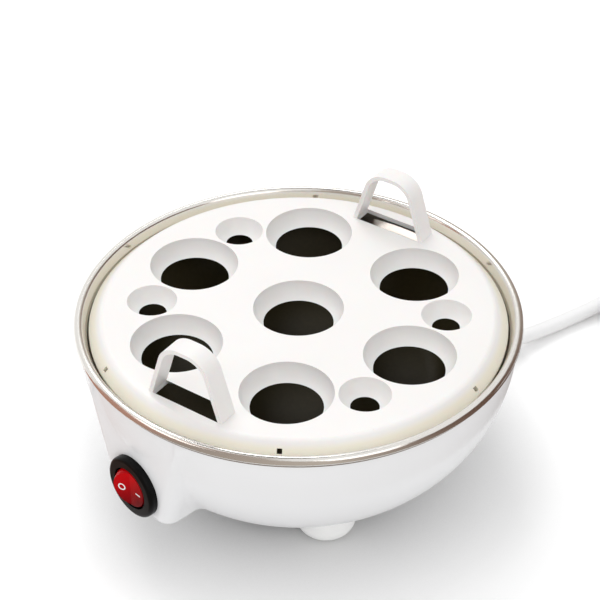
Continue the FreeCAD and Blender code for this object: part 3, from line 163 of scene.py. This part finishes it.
# Housing
# One deep white moulding of glossy ABS with the nose for the switch, closed from below by the cover.
# Pulled from a polished mould, so it has a clean gloss with only a faint waviness.
# The shoulders of the nose draw in at the very top and end under the rim, like the rest of the edge.
def moulded_plastic(name, hex_colour, hex_shade, roughness, specular, wave_mm, wave_height_mm):
    """Gloss moulding: two close tones in broad soft patches, and a shallow waviness of the surface."""
    material, tree = empty_material(name)
    place = add_node(tree, "ShaderNodeTexCoord").outputs["Object"]
    patch_mm = 40.0
    patches = add_node(tree, "ShaderNodeTexNoise", {
        "Vector": place, "Scale": 1000 / patch_mm, "Detail": 2.0})
    tones = add_node(tree, "ShaderNodeMix", {
        share_in: patches.outputs[0], first_in: linear(hex_colour), second_in: linear(hex_shade)},
        data_type="RGBA")
    waves = add_node(tree, "ShaderNodeTexNoise", {"Vector": place, "Scale": 1000 / wave_mm, "Detail": 1.0})
    bump = add_node(tree, "ShaderNodeBump", {
        "Height": waves.outputs[0], "Strength": 1.0, "Distance": wave_height_mm * millimetre})
    bsdf = add_node(tree, "ShaderNodeBsdfPrincipled", {
        "Base Color": tones.outputs[mix_out], "Roughness": roughness, "IOR": 1.5,
        "Specular IOR Level": specular, "Normal": bump.outputs[0]})
    add_node(tree, "ShaderNodeOutputMaterial", {"Surface": bsdf.outputs[0]})
    return material


same_point = 0.001 * millimetre


def finished(mesh, name, body, material, *replaced):
    """Object of a finished mesh that rides on a body and stands for CAD nodes."""
    mesh.materials.clear()
    mesh.materials.append(material)
    piece = bpy.data.objects.new(name, mesh)
    scene.collection.objects.link(piece)
    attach(piece, body)
    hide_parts(*replaced)
    return piece


def smooth_piece(node, body, material, crease_degrees=25.0, flats_first=True):
    """Copy of a CAD solid with its facets joined and its curved faces shaded as curves.

    With flats_first, a flat face keeps its even shade beside a small rounding.
    """
    mesh = nodes[node].data.copy()
    if "custom_normal" in mesh.attributes:
        mesh.attributes.remove(mesh.attributes["custom_normal"])
    work = bmesh.new()
    work.from_mesh(mesh)
    bmesh.ops.remove_doubles(work, verts=work.verts, dist=same_point)
    work.to_mesh(mesh)
    work.free()
    mesh.shade_smooth()
    mesh.set_sharp_from_angle(angle=math.radians(crease_degrees))
    piece = finished(mesh, node + "_finished", body, material, node)
    if flats_first:
        even = piece.modifiers.new("even_normals", "WEIGHTED_NORMAL")
        even.keep_sharp = True
    return piece


white_abs = moulded_plastic(
    "moulded_white_abs", "EEEEEF", "EAEAEB", roughness=0.26, specular=0.5, wave_mm=7.0, wave_height_mm=0.012)
housing = smooth_piece("housing", "base", white_abs, flats_first=False)
edge_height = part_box("housing")[1][2]
edge_radius = 78.6 * millimetre
edge_taper = 0.35
for vertex in housing.data.vertices:
    radius = vertex.co.xy.length
    widest = edge_radius + edge_taper * (edge_height - vertex.co.z)
    if radius > widest:
        vertex.co.xy = vertex.co.xy * widest / radius


# Base cover and feet
# The cover is a dish of the same ABS that carries on the curve of the housing and closes it from below.
# The feet are soft white PVC buttons pressed into it, with a fine matt grain so that they don't slip.
def soft_moulding(name, hex_colour, hex_shade, roughness, grain_mm):
    """Soft plastic, rubber or sleeve: a fine even grain that dulls the light."""
    material, tree = empty_material(name)
    place = add_node(tree, "ShaderNodeTexCoord").outputs["Object"]
    grain = add_node(tree, "ShaderNodeTexNoise", {
        "Vector": place, "Scale": 1000 / grain_mm, "Detail": 3.0})
    tones = add_node(tree, "ShaderNodeMix", {
        share_in: grain.outputs[0], first_in: linear(hex_colour), second_in: linear(hex_shade)},
        data_type="RGBA")
    grain_height_mm = 0.03
    bump = add_node(tree, "ShaderNodeBump", {
        "Height": grain.outputs[0], "Strength": 0.5, "Distance": grain_height_mm * millimetre})
    bsdf = add_node(tree, "ShaderNodeBsdfPrincipled", {
        "Base Color": tones.outputs[mix_out], "Roughness": roughness, "IOR": 1.48,
        "Normal": bump.outputs[0]})
    add_node(tree, "ShaderNodeOutputMaterial", {"Surface": bsdf.outputs[0]})
    return material


smooth_piece("base_cover", "base", white_abs)
soft_pvc = soft_moulding("soft_white_pvc", "F7F7F6", "F1F1F0", roughness=0.5, grain_mm=0.6)
smooth_piece("feet", "base", soft_pvc)


# Screws
# Zinc-plated steel screws with round heads. Three hold the cover from below and show their cross recess.
# The others hold the bowl, the thermostat clip and the cord clamp inside.
def lines_round_axis(tree, place, line_mm, line_height_mm):
    """Normal with shallow lines round the axis, drawn coarser than real ones so that they show."""
    ring_radians = 20.0
    lines = add_node(tree, "ShaderNodeTexWave", {
        "Vector": place, "Scale": 1000 * math.tau / (ring_radians * line_mm), "Distortion": 3.0,
        "Detail": 2.0, "Detail Scale": 2.0}, wave_type="RINGS", rings_direction="Z")
    return add_node(tree, "ShaderNodeBump", {
        "Height": lines.outputs[1], "Strength": 1.0, "Distance": line_height_mm * millimetre}).outputs[0]


def worked_metal(name, hex_colour, roughness, line_mm, line_height_mm):
    """Bare metal with the faint lines that rolling or turning leaves in its shine."""
    material, tree = empty_material(name)
    place = add_node(tree, "ShaderNodeTexCoord").outputs["Object"]
    bsdf = add_node(tree, "ShaderNodeBsdfPrincipled", {
        "Base Color": linear(hex_colour), "Metallic": 1.0, "Roughness": roughness,
        "Normal": lines_round_axis(tree, place, line_mm, line_height_mm)})
    add_node(tree, "ShaderNodeOutputMaterial", {"Surface": bsdf.outputs[0]})
    return material


def dress(material, *names):
    """Gives CAD nodes that stay as they are a material."""
    for name in names:
        slots = nodes[name].data.materials
        slots.clear()
        slots.append(material)


zinc = worked_metal("zinc_plated_steel", "B9BBBE", roughness=0.35, line_mm=1.9, line_height_mm=0.004)
dress(zinc, "pan_screws", "clip_screws", "clamp_screws", "pan_standoffs", "thermostat_clip")

screws_low, screws_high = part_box("cover_screws")
head_height = 2.2 * millimetre
screw_sizes = {
    "Head Radius": 2.73 * millimetre,
    "Head Height": head_height,
    "Shank Radius": 1.4 * millimetre,
    "Shank Length": screws_high[2] - screws_low[2] - head_height,
    "Recess Length": 2.9 * millimetre,
    "Recess Width": 0.7 * millimetre,
    "Recess Depth": 1.2 * millimetre,
}
crown_share = 0.72
head_sides, shank_sides = 32, 24

screw_tree = bpy.data.node_groups.new("cross_head_screws", "GeometryNodeTree")
screw_tree.interface.new_socket("Places", in_out="INPUT", socket_type="NodeSocketGeometry")
for size_name in screw_sizes:
    screw_tree.interface.new_socket(size_name, in_out="INPUT", socket_type="NodeSocketFloat")
screw_tree.interface.new_socket("Screws", in_out="OUTPUT", socket_type="NodeSocketGeometry")
given = add_node(screw_tree, "NodeGroupInput").outputs

# The head is a cone below a straight collar, each half of its height
half_head = add_node(screw_tree, "ShaderNodeMath", {
    0: given["Head Height"], 1: 0.5}, operation="MULTIPLY").outputs[0]
crown_radius = add_node(screw_tree, "ShaderNodeMath", {
    0: given["Head Radius"], 1: crown_share}, operation="MULTIPLY").outputs[0]
crown = add_node(screw_tree, "GeometryNodeMeshCone", {
    "Vertices": head_sides, "Radius Top": given["Head Radius"], "Radius Bottom": crown_radius,
    "Depth": half_head})
collar = add_node(screw_tree, "GeometryNodeMeshCylinder", {
    "Vertices": head_sides, "Radius": given["Head Radius"], "Depth": half_head})
collar_middle = add_node(screw_tree, "ShaderNodeMath", {
    0: half_head, 1: 1.5}, operation="MULTIPLY").outputs[0]
collar_place = add_node(screw_tree, "ShaderNodeCombineXYZ", {"Z": collar_middle}).outputs[0]
collar_set = add_node(screw_tree, "GeometryNodeTransform", {
    "Geometry": collar.outputs["Mesh"], "Translation": collar_place})

# The shank stands on the head
shank = add_node(screw_tree, "GeometryNodeMeshCylinder", {
    "Vertices": shank_sides, "Radius": given["Shank Radius"], "Depth": given["Shank Length"]})
half_shank = add_node(screw_tree, "ShaderNodeMath", {
    0: given["Shank Length"], 1: 0.5}, operation="MULTIPLY").outputs[0]
shank_middle = add_node(screw_tree, "ShaderNodeMath", {
    0: half_shank, 1: given["Head Height"]}, operation="ADD").outputs[0]
shank_place = add_node(screw_tree, "ShaderNodeCombineXYZ", {"Z": shank_middle}).outputs[0]
shank_set = add_node(screw_tree, "GeometryNodeTransform", {
    "Geometry": shank.outputs["Mesh"], "Translation": shank_place})

# The recess is two crossed bars cut out of the crown, half of each bar above its lower face
recess_height = add_node(screw_tree, "ShaderNodeMath", {
    0: given["Recess Depth"], 1: 2.0}, operation="MULTIPLY").outputs[0]
cut = add_node(screw_tree, "GeometryNodeMeshBoolean", {
    "Mesh 1": crown.outputs["Mesh"]}, operation="DIFFERENCE")
for across_name, along_name in (("Recess Length", "Recess Width"), ("Recess Width", "Recess Length")):
    bar_size = add_node(screw_tree, "ShaderNodeCombineXYZ", {
        "X": given[across_name], "Y": given[along_name], "Z": recess_height}).outputs[0]
    bar = add_node(screw_tree, "GeometryNodeMeshCube", {"Size": bar_size})
    screw_tree.links.new(bar.outputs["Mesh"], cut.inputs["Mesh 2"])

screw = add_node(screw_tree, "GeometryNodeJoinGeometry")
for part in (cut.outputs["Mesh"], collar_set.outputs[0], shank_set.outputs[0]):
    screw_tree.links.new(part, screw.inputs[0])
placed = add_node(screw_tree, "GeometryNodeInstanceOnPoints", {
    "Points": given["Places"], "Instance": screw.outputs[0]})
real = add_node(screw_tree, "GeometryNodeRealizeInstances", {"Geometry": placed.outputs[0]})
plated = add_node(screw_tree, "GeometryNodeSetMaterial", {"Geometry": real.outputs[0], "Material": zinc})
add_node(screw_tree, "NodeGroupOutput", {"Screws": plated.outputs[0]})

screw_circle = 42.0 * millimetre
screw_count, first_azimuth = 3, math.radians(56.0)
screw_azimuths = [first_azimuth + math.tau * i / screw_count for i in range(screw_count)]
places_mesh = bpy.data.meshes.new("cover_screw_places")
places_mesh.from_pydata(
    [(screw_circle * math.cos(a), screw_circle * math.sin(a), screws_low[2]) for a in screw_azimuths],
    [], [])
places = bpy.data.objects.new("cover_screw_places", places_mesh)
scene.collection.objects.link(places)
screw_modifier = places.modifiers.new("cross_head_screws", "NODES")
screw_modifier.node_group = screw_tree
for item in screw_tree.interface.items_tree:
    if item.in_out == "INPUT" and item.name in screw_sizes:
        screw_modifier[item.identifier] = screw_sizes[item.name]
evaluated = places.evaluated_get(bpy.context.evaluated_depsgraph_get())
screws_mesh = bpy.data.meshes.new_from_object(evaluated)
bpy.data.objects.remove(places)
finished(screws_mesh, "cover_screws_finished", "base", zinc, "cover_screws")


# Heater
# An aluminium plate under the bowl spreads the heat of a tubular element bent to an open ring.
# A small thermostat is clipped to the middle, with a fuse in a woven sleeve beside it.
aluminium = worked_metal("rolled_aluminium", "C9CACC", roughness=0.4, line_mm=3.1, line_height_mm=0.006)
dress(aluminium, "heat_plate", "heating_element", "thermostat_cap")
tinned = worked_metal("tinned_steel_tabs", "BDBDBA", roughness=0.3, line_mm=1.9, line_height_mm=0.003)
dress(tinned, "element_terminals", "thermostat_terminals", "earth_tab")
phenolic = soft_moulding("dark_phenolic", "2A211C", "231B17", roughness=0.55, grain_mm=0.5)
dress(phenolic, "thermostat_base")
glass_sleeve = soft_moulding("woven_glass_sleeve", "D8D2C6", "BDB6A8", roughness=0.75, grain_mm=0.8)
dress(glass_sleeve, "thermal_fuse")


# Leads and their sockets
# Stranded copper in coloured PVC, with brass sockets pushed on the tabs and a nylon clamp over the cord.
# Brown is live, blue is neutral, and the earth lead is green with a yellow stripe.
def striped_pvc(name, hex_ground, hex_stripe, stripe_mm):
    """Lead cover in two colours: even bands of the second colour on the first."""
    material, tree = empty_material(name)
    place = add_node(tree, "ShaderNodeTexCoord").outputs["Object"]
    diagonal_radians, stripe_level = 10.0, 0.6
    bands = add_node(tree, "ShaderNodeTexWave", {
        "Vector": place, "Scale": 1000 * math.tau / (diagonal_radians * stripe_mm)},
        bands_direction="DIAGONAL")
    edge = add_node(tree, "ShaderNodeMath", {
        0: bands.outputs[1], 1: stripe_level}, operation="GREATER_THAN")
    tones = add_node(tree, "ShaderNodeMix", {
        share_in: edge.outputs[0], first_in: linear(hex_ground), second_in: linear(hex_stripe)},
        data_type="RGBA")
    bsdf = add_node(tree, "ShaderNodeBsdfPrincipled", {
        "Base Color": tones.outputs[mix_out], "Roughness": 0.5, "IOR": 1.53})
    add_node(tree, "ShaderNodeOutputMaterial", {"Surface": bsdf.outputs[0]})
    return material


brass = worked_metal("bare_brass", "C9A75A", roughness=0.32, line_mm=1.9, line_height_mm=0.003)
dress(brass, "switch_terminals", "lead_sockets")
nylon = soft_moulding("natural_nylon", "DAD9D2", "D2D1CA", roughness=0.45, grain_mm=1.0)
dress(nylon, "cord_clamp")
brown_pvc = soft_moulding("brown_lead_pvc", "6B3B1E", "613519", roughness=0.5, grain_mm=0.8)
dress(brown_pvc, "lead_live", "lead_switched", "lead_heater")
blue_pvc = soft_moulding("blue_lead_pvc", "2A4E9C", "264790", roughness=0.5, grain_mm=0.8)
dress(blue_pvc, "lead_fuse", "lead_neutral")
dress(striped_pvc("green_yellow_lead_pvc", "3E8A34", "E2CB2E", stripe_mm=5.0), "lead_earth")


# Heating bowl and its gasket
# Pressed stainless sheet with a ledge for the tray and a rim rolled to a bead, on a grey silicone ring.
# The rim is polished and mirrors the room in soft bands. Below the ledge the pan is painted a dull
# brown-black, as painted shade for the dark inside of the bowl.
def steel_with_painted_shade():
    """Polished stainless at the rim, and under the ledge a brown-black painted shade that hardly shines."""
    material, tree = empty_material("polished_stainless_with_painted_shade")
    place = add_node(tree, "ShaderNodeTexCoord").outputs["Object"]
    height = add_node(tree, "ShaderNodeSeparateXYZ", {0: place}).outputs["Z"]
    # Painted shade: below the ledge the steel gives way to a dull brown-black tone for the dark inside of
    # the bowl
    painted_shade_top_mm, bare_mm = 57.5, 59.0
    bare = add_node(tree, "ShaderNodeMapRange", {
        "Value": height, "From Min": painted_shade_top_mm * millimetre, "From Max": bare_mm * millimetre}).outputs[0]
    speck_mm = 1.5
    specks = add_node(tree, "ShaderNodeTexNoise", {
        "Vector": place, "Scale": 1000 / speck_mm, "Detail": 3.0})
    painted_shade_tone = add_node(tree, "ShaderNodeMix", {
        share_in: specks.outputs[0], first_in: linear("262008"), second_in: linear("332B12")},
        data_type="RGBA")
    colour = add_node(tree, "ShaderNodeMix", {
        share_in: bare, first_in: painted_shade_tone.outputs[mix_out], second_in: linear("E2DFDA")}, data_type="RGBA")
    shaded_roughness, steel_roughness = 0.5, 0.18
    roughness = add_node(tree, "ShaderNodeMapRange", {
        "Value": bare, "To Min": shaded_roughness, "To Max": steel_roughness}).outputs[0]
    bsdf = add_node(tree, "ShaderNodeBsdfPrincipled", {
        "Base Color": colour.outputs[mix_out], "Metallic": bare, "Roughness": roughness,
        "Specular IOR Level": 0.2,
        "Normal": lines_round_axis(tree, place, line_mm=3.77, line_height_mm=0.002)})
    add_node(tree, "ShaderNodeOutputMaterial", {"Surface": bsdf.outputs[0]})
    return material


smooth_piece("heating_bowl", "base", steel_with_painted_shade(), crease_degrees=40.0)
silicone = soft_moulding("grey_silicone", "857B72", "7C726A", roughness=0.55, grain_mm=0.8)
smooth_piece("rim_gasket", "base", silicone)


# Dark surroundings of the rim
# A tall brown card bent round the camera's side, which starts on the table and leans in over the front left,
# and a small black card overhead. Only mirror reflections show them: they give the polished rim the dark
# lines that a room gives it.
def mirror_card(name, points, faces, colour_of):
    """Stage card that nothing but a reflection shows, with a colour that may follow its node tree."""
    mesh = bpy.data.meshes.new(name)
    mesh.from_pydata(points, [], faces)
    material, tree = empty_material(name)
    shade = add_node(tree, "ShaderNodeEmission", {"Color": colour_of(tree), "Strength": 1.0})
    add_node(tree, "ShaderNodeOutputMaterial", {"Surface": shade.outputs[0]})
    mesh.materials.append(material)
    card = bpy.data.objects.new(name, mesh)
    scene.collection.objects.link(card)
    card.visible_camera = False
    card.visible_diffuse = False
    card.visible_shadow = False
    card.visible_transmission = False


def brown_by_side(tree):
    """Terracotta on the far left, then taupe, a paler middle, and dark brown on the far right."""
    place = add_node(tree, "ShaderNodeTexCoord").outputs["Object"]
    level, rightward = (1.0, 1.0, 0.0), (0.68, 0.73, 0.0)
    flat = add_node(tree, "ShaderNodeVectorMath", {0: place, 1: level}, operation="MULTIPLY")
    bearing = add_node(tree, "ShaderNodeVectorMath", {0: flat.outputs[0]}, operation="NORMALIZE")
    to_the_right = add_node(tree, "ShaderNodeVectorMath", {
        0: bearing.outputs[0], 1: rightward}, operation="DOT_PRODUCT").outputs["Value"]
    share = add_node(tree, "ShaderNodeMapRange", {
        "Value": to_the_right, "From Min": -1.0, "From Max": 1.0})
    ramp = add_node(tree, "ShaderNodeValToRGB", {0: share.outputs[0]})
    stops = ramp.color_ramp.elements
    stops[0].color = linear("BF9280")
    stops[1].color = linear("6E564B")
    for position, hex_colour in ((0.13, "A89C93"), (0.6, "CAC1B8")):
        stops.new(position).color = linear(hex_colour)
    return ramp.outputs[0]


card_inner, card_radius, card_height = 0.095, 1.6, 1.2
card_off_table = 0.4 * millimetre
card_from, card_to, card_steps = math.radians(-145.0), math.radians(132.0), 64
lean_middle, lean_half, least_lean = math.radians(-85.0), math.radians(36.0), 0.01
overhang_in, overhang_up = 1.5, 0.6
card_loops = (
    (card_inner, card_off_table, 0.0, 0.0),
    (card_radius, card_off_table, 0.0, 0.0),
    (card_radius, card_height, 0.0, 0.0),
    (card_radius, card_height, overhang_in, overhang_up),
)
card_turns = [card_from + (card_to - card_from) * i / card_steps for i in range(card_steps + 1)]
card_points = []
for radius, height, lean_in, lean_up in card_loops:
    for turn in card_turns:
        lean = max(least_lean, 1 - ((turn - lean_middle) / lean_half) ** 2)
        reach = radius - lean_in * lean
        card_points.append((reach * math.cos(turn), reach * math.sin(turn), height + lean_up * lean))
card_faces = []
for loop in range(len(card_loops) - 1):
    for step in range(card_steps):
        low = loop * len(card_turns) + step
        high = low + len(card_turns)
        card_faces.append((low, low + 1, high + 1, high))
mirror_card("brown_card", card_points, card_faces, brown_by_side)

black_middle = Vector((-0.425, 0.2, 1.3))
black_half_width, black_half_depth = 0.325, 0.3
black_points = [black_middle + Vector((black_half_width * x, black_half_depth * y, 0.0))
                for x, y in square_corners]
mirror_card("black_card", black_points, [(0, 1, 2, 3)], lambda tree: linear("1A1816"))


# Rocker switch
# A black nylon frame snapped into the nose, and a red polycarbonate rocker with the usual marks for off and
# on. The marks are white ink, printed on the two faces of the rocker.
pivot = Vector((0.0, -76.8, 30.5)) * millimetre


def red_plastic():
    """Tinted polycarbonate: bright red higher up as painted light, darker low down and towards the on side
    as painted shade.
    """
    material, tree = empty_material("tinted_red_polycarbonate")
    place = add_node(tree, "ShaderNodeTexCoord").outputs["Object"]
    from_pivot = add_node(tree, "ShaderNodeVectorMath", {
        0: place, 1: pivot}, operation="SUBTRACT").outputs[0]
    # Painted light and shade: the red darkens away from the pivot, low down and towards the on side, broken
    # up by noise
    toward_painted_shade = (0.6, 0.0, -0.8)
    reach = add_node(tree, "ShaderNodeVectorMath", {
        0: from_pivot, 1: toward_painted_shade}, operation="DOT_PRODUCT").outputs["Value"]
    lit_mm, dark_mm = -3.0, 9.0
    painted_shade_share = add_node(tree, "ShaderNodeMapRange", {
        "Value": reach, "From Min": lit_mm * millimetre, "From Max": dark_mm * millimetre}).outputs[0]
    cloud_mm, cloud_share = 6.0, 0.5
    clouds = add_node(tree, "ShaderNodeTexNoise", {
        "Vector": place, "Scale": 1000 / cloud_mm, "Detail": 2.0})
    cloudy = add_node(tree, "ShaderNodeMath", {
        0: clouds.outputs[0], 1: cloud_share, 2: painted_shade_share}, operation="MULTIPLY_ADD")
    tones = add_node(tree, "ShaderNodeMix", {
        share_in: cloudy.outputs[0], first_in: linear("C8050D"), second_in: linear("68030C")},
        data_type="RGBA")
    bsdf = add_node(tree, "ShaderNodeBsdfPrincipled", {
        "Base Color": tones.outputs[mix_out], "Roughness": 0.18, "IOR": 1.58, "Specular IOR Level": 0.04})
    add_node(tree, "ShaderNodeOutputMaterial", {"Surface": bsdf.outputs[0]})
    return material


black_nylon = moulded_plastic(
    "black_nylon", "0B0B0B", "070707", roughness=0.34, specular=0.1, wave_mm=3.0, wave_height_mm=0.006)
smooth_piece("switch_frame", "base", black_nylon)
smooth_piece("switch_rocker", "rocker", red_plastic(), crease_degrees=20.0)

valley_out = 3.0 * millimetre
rocker_tilt = math.radians(11.0)
across, outward, up = Vector((1.0, 0.0, 0.0)), Vector((0.0, -1.0, 0.0)), Vector((0.0, 0.0, 1.0))
valley = pivot + (across * math.sin(rocker_tilt) + outward * math.cos(rocker_tilt)) * valley_out
off_along = across * -math.cos(2 * rocker_tilt) + outward * math.sin(2 * rocker_tilt)
white_ink = soft_moulding("white_ink", "F4F4F4", "EAEAEA", roughness=0.45, grain_mm=0.4)
ink_thickness = 0.06 * millimetre


def printed_mark(name, along, reach, shape):
    """Flat mark on one face of the rocker, at a reach from the valley between the two faces."""
    out = along.cross(up)
    if out.dot(outward) < 0:
        out.negate()
    face = Matrix((along, up, out)).transposed().to_4x4()
    face.translation = valley + along * reach
    points, faces = shape
    mesh = bpy.data.meshes.new(name)
    mesh.from_pydata(points, [], faces)
    mesh.transform(face)
    work = bmesh.new()
    work.from_mesh(mesh)
    bmesh.ops.recalc_face_normals(work, faces=work.faces)
    work.to_mesh(mesh)
    work.free()
    mesh.materials.append(white_ink)
    mark = bpy.data.objects.new(name, mesh)
    scene.collection.objects.link(mark)
    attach(mark, "rocker")


def ring_mark(outer, inner, sides):
    """Low ring with square edges."""
    rims = ((outer, -ink_thickness), (outer, ink_thickness), (inner, ink_thickness), (inner, -ink_thickness))
    turns = [math.tau * i / sides for i in range(sides)]
    points = [(r * math.cos(t), r * math.sin(t), z) for r, z in rims for t in turns]
    faces = []
    for rim in range(len(rims)):
        this, after = rim * sides, (rim + 1) % len(rims) * sides
        for i in range(sides):
            beside = (i + 1) % sides
            faces.append((this + i, this + beside, after + beside, after + i))
    return points, faces


def bar_mark(length, width):
    """Low bar with square edges."""
    points = [(length / 2 * x, width / 2 * y, ink_thickness * z) for z in (-1, 1) for x, y in square_corners]
    faces = [(0, 1, 2, 3), (4, 5, 6, 7), (0, 1, 5, 4), (1, 2, 6, 5), (2, 3, 7, 6), (3, 0, 4, 7)]
    return points, faces


off_ring = ring_mark(outer=1.45 * millimetre, inner=1.0 * millimetre, sides=40)
printed_mark("off_mark", off_along, 3.4 * millimetre, off_ring)
on_bar = bar_mark(length=2.3 * millimetre, width=0.5 * millimetre)
printed_mark("on_mark", across, 4.0 * millimetre, on_bar)


# Tray
# One white polypropylene moulding that lies on the ledge of the bowl and lifts out by its two strap handles.
# The plastic lets a little light in. Its sloping skirt is painted cream, as painted reflection of the warm
# steel round it and painted shade of the trough.
# The inner wall of the slot under each handle slopes back under the plate, which leaves it a thin edge.
def milky_plastic():
    """Polypropylene: satin gloss over a slightly see-through white, with a cream painted reflection and
    shade on the skirt.
    """
    material, tree = empty_material("white_polypropylene")
    place = add_node(tree, "ShaderNodeTexCoord").outputs["Object"]
    patch_mm = 30.0
    patches = add_node(tree, "ShaderNodeTexNoise", {
        "Vector": place, "Scale": 1000 / patch_mm, "Detail": 2.0})
    tones = add_node(tree, "ShaderNodeMix", {
        share_in: patches.outputs[0], first_in: linear("EFEDEB"), second_in: linear("EAE7E5")},
        data_type="RGBA")
    level = (1.0, 1.0, 0.0)
    flat = add_node(tree, "ShaderNodeVectorMath", {0: place, 1: level}, operation="MULTIPLY")
    radius = add_node(tree, "ShaderNodeVectorMath", {
        0: flat.outputs[0]}, operation="LENGTH").outputs["Value"]
    shoulder_mm, skirt_mm = 71.4, 72.8
    # Painted reflection and shade: outside the shoulder the skirt is tinted cream for the warm steel round
    # it and the shade of the trough
    painted_skirt_tint = add_node(tree, "ShaderNodeMapRange", {
        "Value": radius, "From Min": shoulder_mm * millimetre,
        "From Max": skirt_mm * millimetre}).outputs[0]
    colour = add_node(tree, "ShaderNodeMix", {
        share_in: painted_skirt_tint, first_in: tones.outputs[mix_out], second_in: linear("EDE8D8")}, data_type="RGBA")
    grain_mm, grain_height_mm = 1.2, 0.012
    grain = add_node(tree, "ShaderNodeTexNoise", {
        "Vector": place, "Scale": 1000 / grain_mm, "Detail": 2.0})
    bump = add_node(tree, "ShaderNodeBump", {
        "Height": grain.outputs[0], "Strength": 0.6, "Distance": grain_height_mm * millimetre})
    bsdf = add_node(tree, "ShaderNodeBsdfPrincipled", {
        "Base Color": colour.outputs[mix_out], "Roughness": 0.36, "IOR": 1.49, "Normal": bump.outputs[0],
        "Subsurface Weight": 0.15, "Subsurface Scale": 1.0 * millimetre})
    add_node(tree, "ShaderNodeOutputMaterial", {"Surface": bsdf.outputs[0]})
    return material


def spot_on(azimuth, radius, height=0.0, across=0.0):
    """Point in metres at a radius in millimetres on an azimuth, moved across it to the left."""
    a = math.radians(azimuth)
    x = radius * math.cos(a) - across * math.sin(a)
    y = radius * math.sin(a) + across * math.cos(a)
    return Vector((x, y, height)) * millimetre


tray = smooth_piece("egg_tray", "tray", milky_plastic())
handle_azimuths = (-77.8, 102.2)
slot_wall_radius, slot_half_length, plate_underside = 58.5, 13.7, 65.5
slot_undercut = 2.4
corner_tolerance = 0.05 * millimetre
for azimuth in handle_azimuths:
    for side in (-1, 1):
        corner = spot_on(azimuth, slot_wall_radius, plate_underside, side * slot_half_length)
        for vertex in tray.data.vertices:
            if (vertex.co - corner).length < corner_tolerance:
                vertex.co -= spot_on(azimuth, slot_undercut)


# Cord
# A round white PVC mains lead that leaves the housing low at the back through a tapered sleeve.
# The length that isn't needed lies wound and tied behind the cooker, with its plug beside it.
cord_diameter = 6.0 * millimetre
cord_heading = 81.0
outlet_radius, outlet_height, sleeve_length = 66.0, 16.0, 26.0
sleeve_dip = math.radians(15.0)
sleeve_along = spot_on(cord_heading, math.cos(sleeve_dip), -math.sin(sleeve_dip)) / millimetre
sleeve_tip = spot_on(cord_heading, outlet_radius, outlet_height) + sleeve_along * sleeve_length * millimetre

coil_turns, climb_turns = 3.25, 0.5
coil_step = 6.6
coil_outer = 38.3625
coil_low = 4.2
coil_lead = 6.0
coil_start_radius = 176.0
coil_slant = math.degrees(math.atan2(coil_step, math.tau * coil_outer))
coil_first = cord_heading + 90.0 + coil_slant
coil_centre = spot_on(cord_heading, coil_start_radius) - spot_on(coil_first, coil_outer)


def coil_point(turns):
    """Point of the coil after some turns: inwards on the table, a climb, and outwards on top."""
    half = coil_turns / 2
    inwards = half - abs(half - turns)
    climb = min(max((turns - half) / climb_turns + 0.5, 0.0), 1.0)
    height = coil_low + coil_step * climb * climb * (3 - 2 * climb)
    return coil_centre + spot_on(coil_first - 360.0 * turns, coil_outer - coil_step * inwards, height)


def coil_way(turns):
    """Direction of the cord at a point of the coil."""
    step = 0.001
    return (coil_point(turns + step) - coil_point(turns - step)).normalized()


coil_points_per_turn = 24
coil_count = round(coil_turns * coil_points_per_turn)
coil_points = [coil_point(coil_turns * i / coil_count) for i in range(coil_count + 1)]
coil_start = coil_points[0] - coil_way(0.0) * coil_lead * millimetre
coil_end = coil_points[-1] + coil_way(coil_turns) * coil_lead * millimetre
tail_run, tail_reach, plug_axis_height = 13.0, 41.0, 15.6
plug_along = coil_way(coil_turns)
plug_entry = coil_end + plug_along * tail_reach * millimetre
plug_entry.z = plug_axis_height * millimetre

run_out, run_in = 15.0, 16.0
first_lay, second_lay = (125.0, 3.1, 0.6), (144.0, 3.2, 0.3)
cord_route = [
    sleeve_tip,
    sleeve_tip + sleeve_along * run_out * millimetre,
    spot_on(cord_heading, *first_lay),
    spot_on(cord_heading, *second_lay),
    coil_start - coil_way(0.0) * run_in * millimetre,
    coil_start,
    *coil_points,
    coil_end,
    coil_end + plug_along * tail_run * millimetre,
    plug_entry - plug_along * tail_run * millimetre,
    plug_entry,
]
cord_curve = bpy.data.curves.new("cord", "CURVE")
cord_curve.dimensions = "3D"
cord_line = cord_curve.splines.new("NURBS")
cord_line.points.add(len(cord_route) - 1)
for point, spot in zip(cord_line.points, cord_route):
    point.co = (*spot, 1.0)
cord_line.order_u = 3
cord_line.use_endpoint_u = True
cord_curve.resolution_u = 6
cord_curve.bevel_depth = cord_diameter / 2
cord_curve.bevel_resolution = 5
cord_curve.use_fill_caps = True
white_pvc = soft_moulding("white_cord_pvc", "F8F8F8", "F2F2F2", roughness=0.42, grain_mm=1.5)
cord_curve.materials.append(white_pvc)
cord = bpy.data.objects.new("cord", cord_curve)
scene.collection.objects.link(cord)
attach(cord, "base")
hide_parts("cord_free", "cord_coil", "cord_tail")
smooth_piece("strain_relief", "base", white_pvc)
dress(white_pvc, "cord_entry")
tie_band = soft_moulding("white_tie_band", "E4E4E2", "DADAD8", roughness=0.6, grain_mm=1.0)
dress(tie_band, "coil_tie")


# Plug
# A straight plug of white PVC moulded on the end of the cord, with earth contacts let into its sides.
# The two pins and the contacts are nickel-plated, so they are bright and slightly warm.
white_plug_pvc = moulded_plastic(
    "moulded_white_pvc", "EDEDED", "E8E8E8", roughness=0.38, specular=0.5, wave_mm=4.0, wave_height_mm=0.01)
plug = smooth_piece("plug_body", "base", white_plug_pvc)
nickel = worked_metal("nickel_plate", "CFCBC2", roughness=0.18, line_mm=1.9, line_height_mm=0.002)
pins = smooth_piece("plug_pins", "base", nickel)
contacts = smooth_piece("plug_earth", "base", nickel)
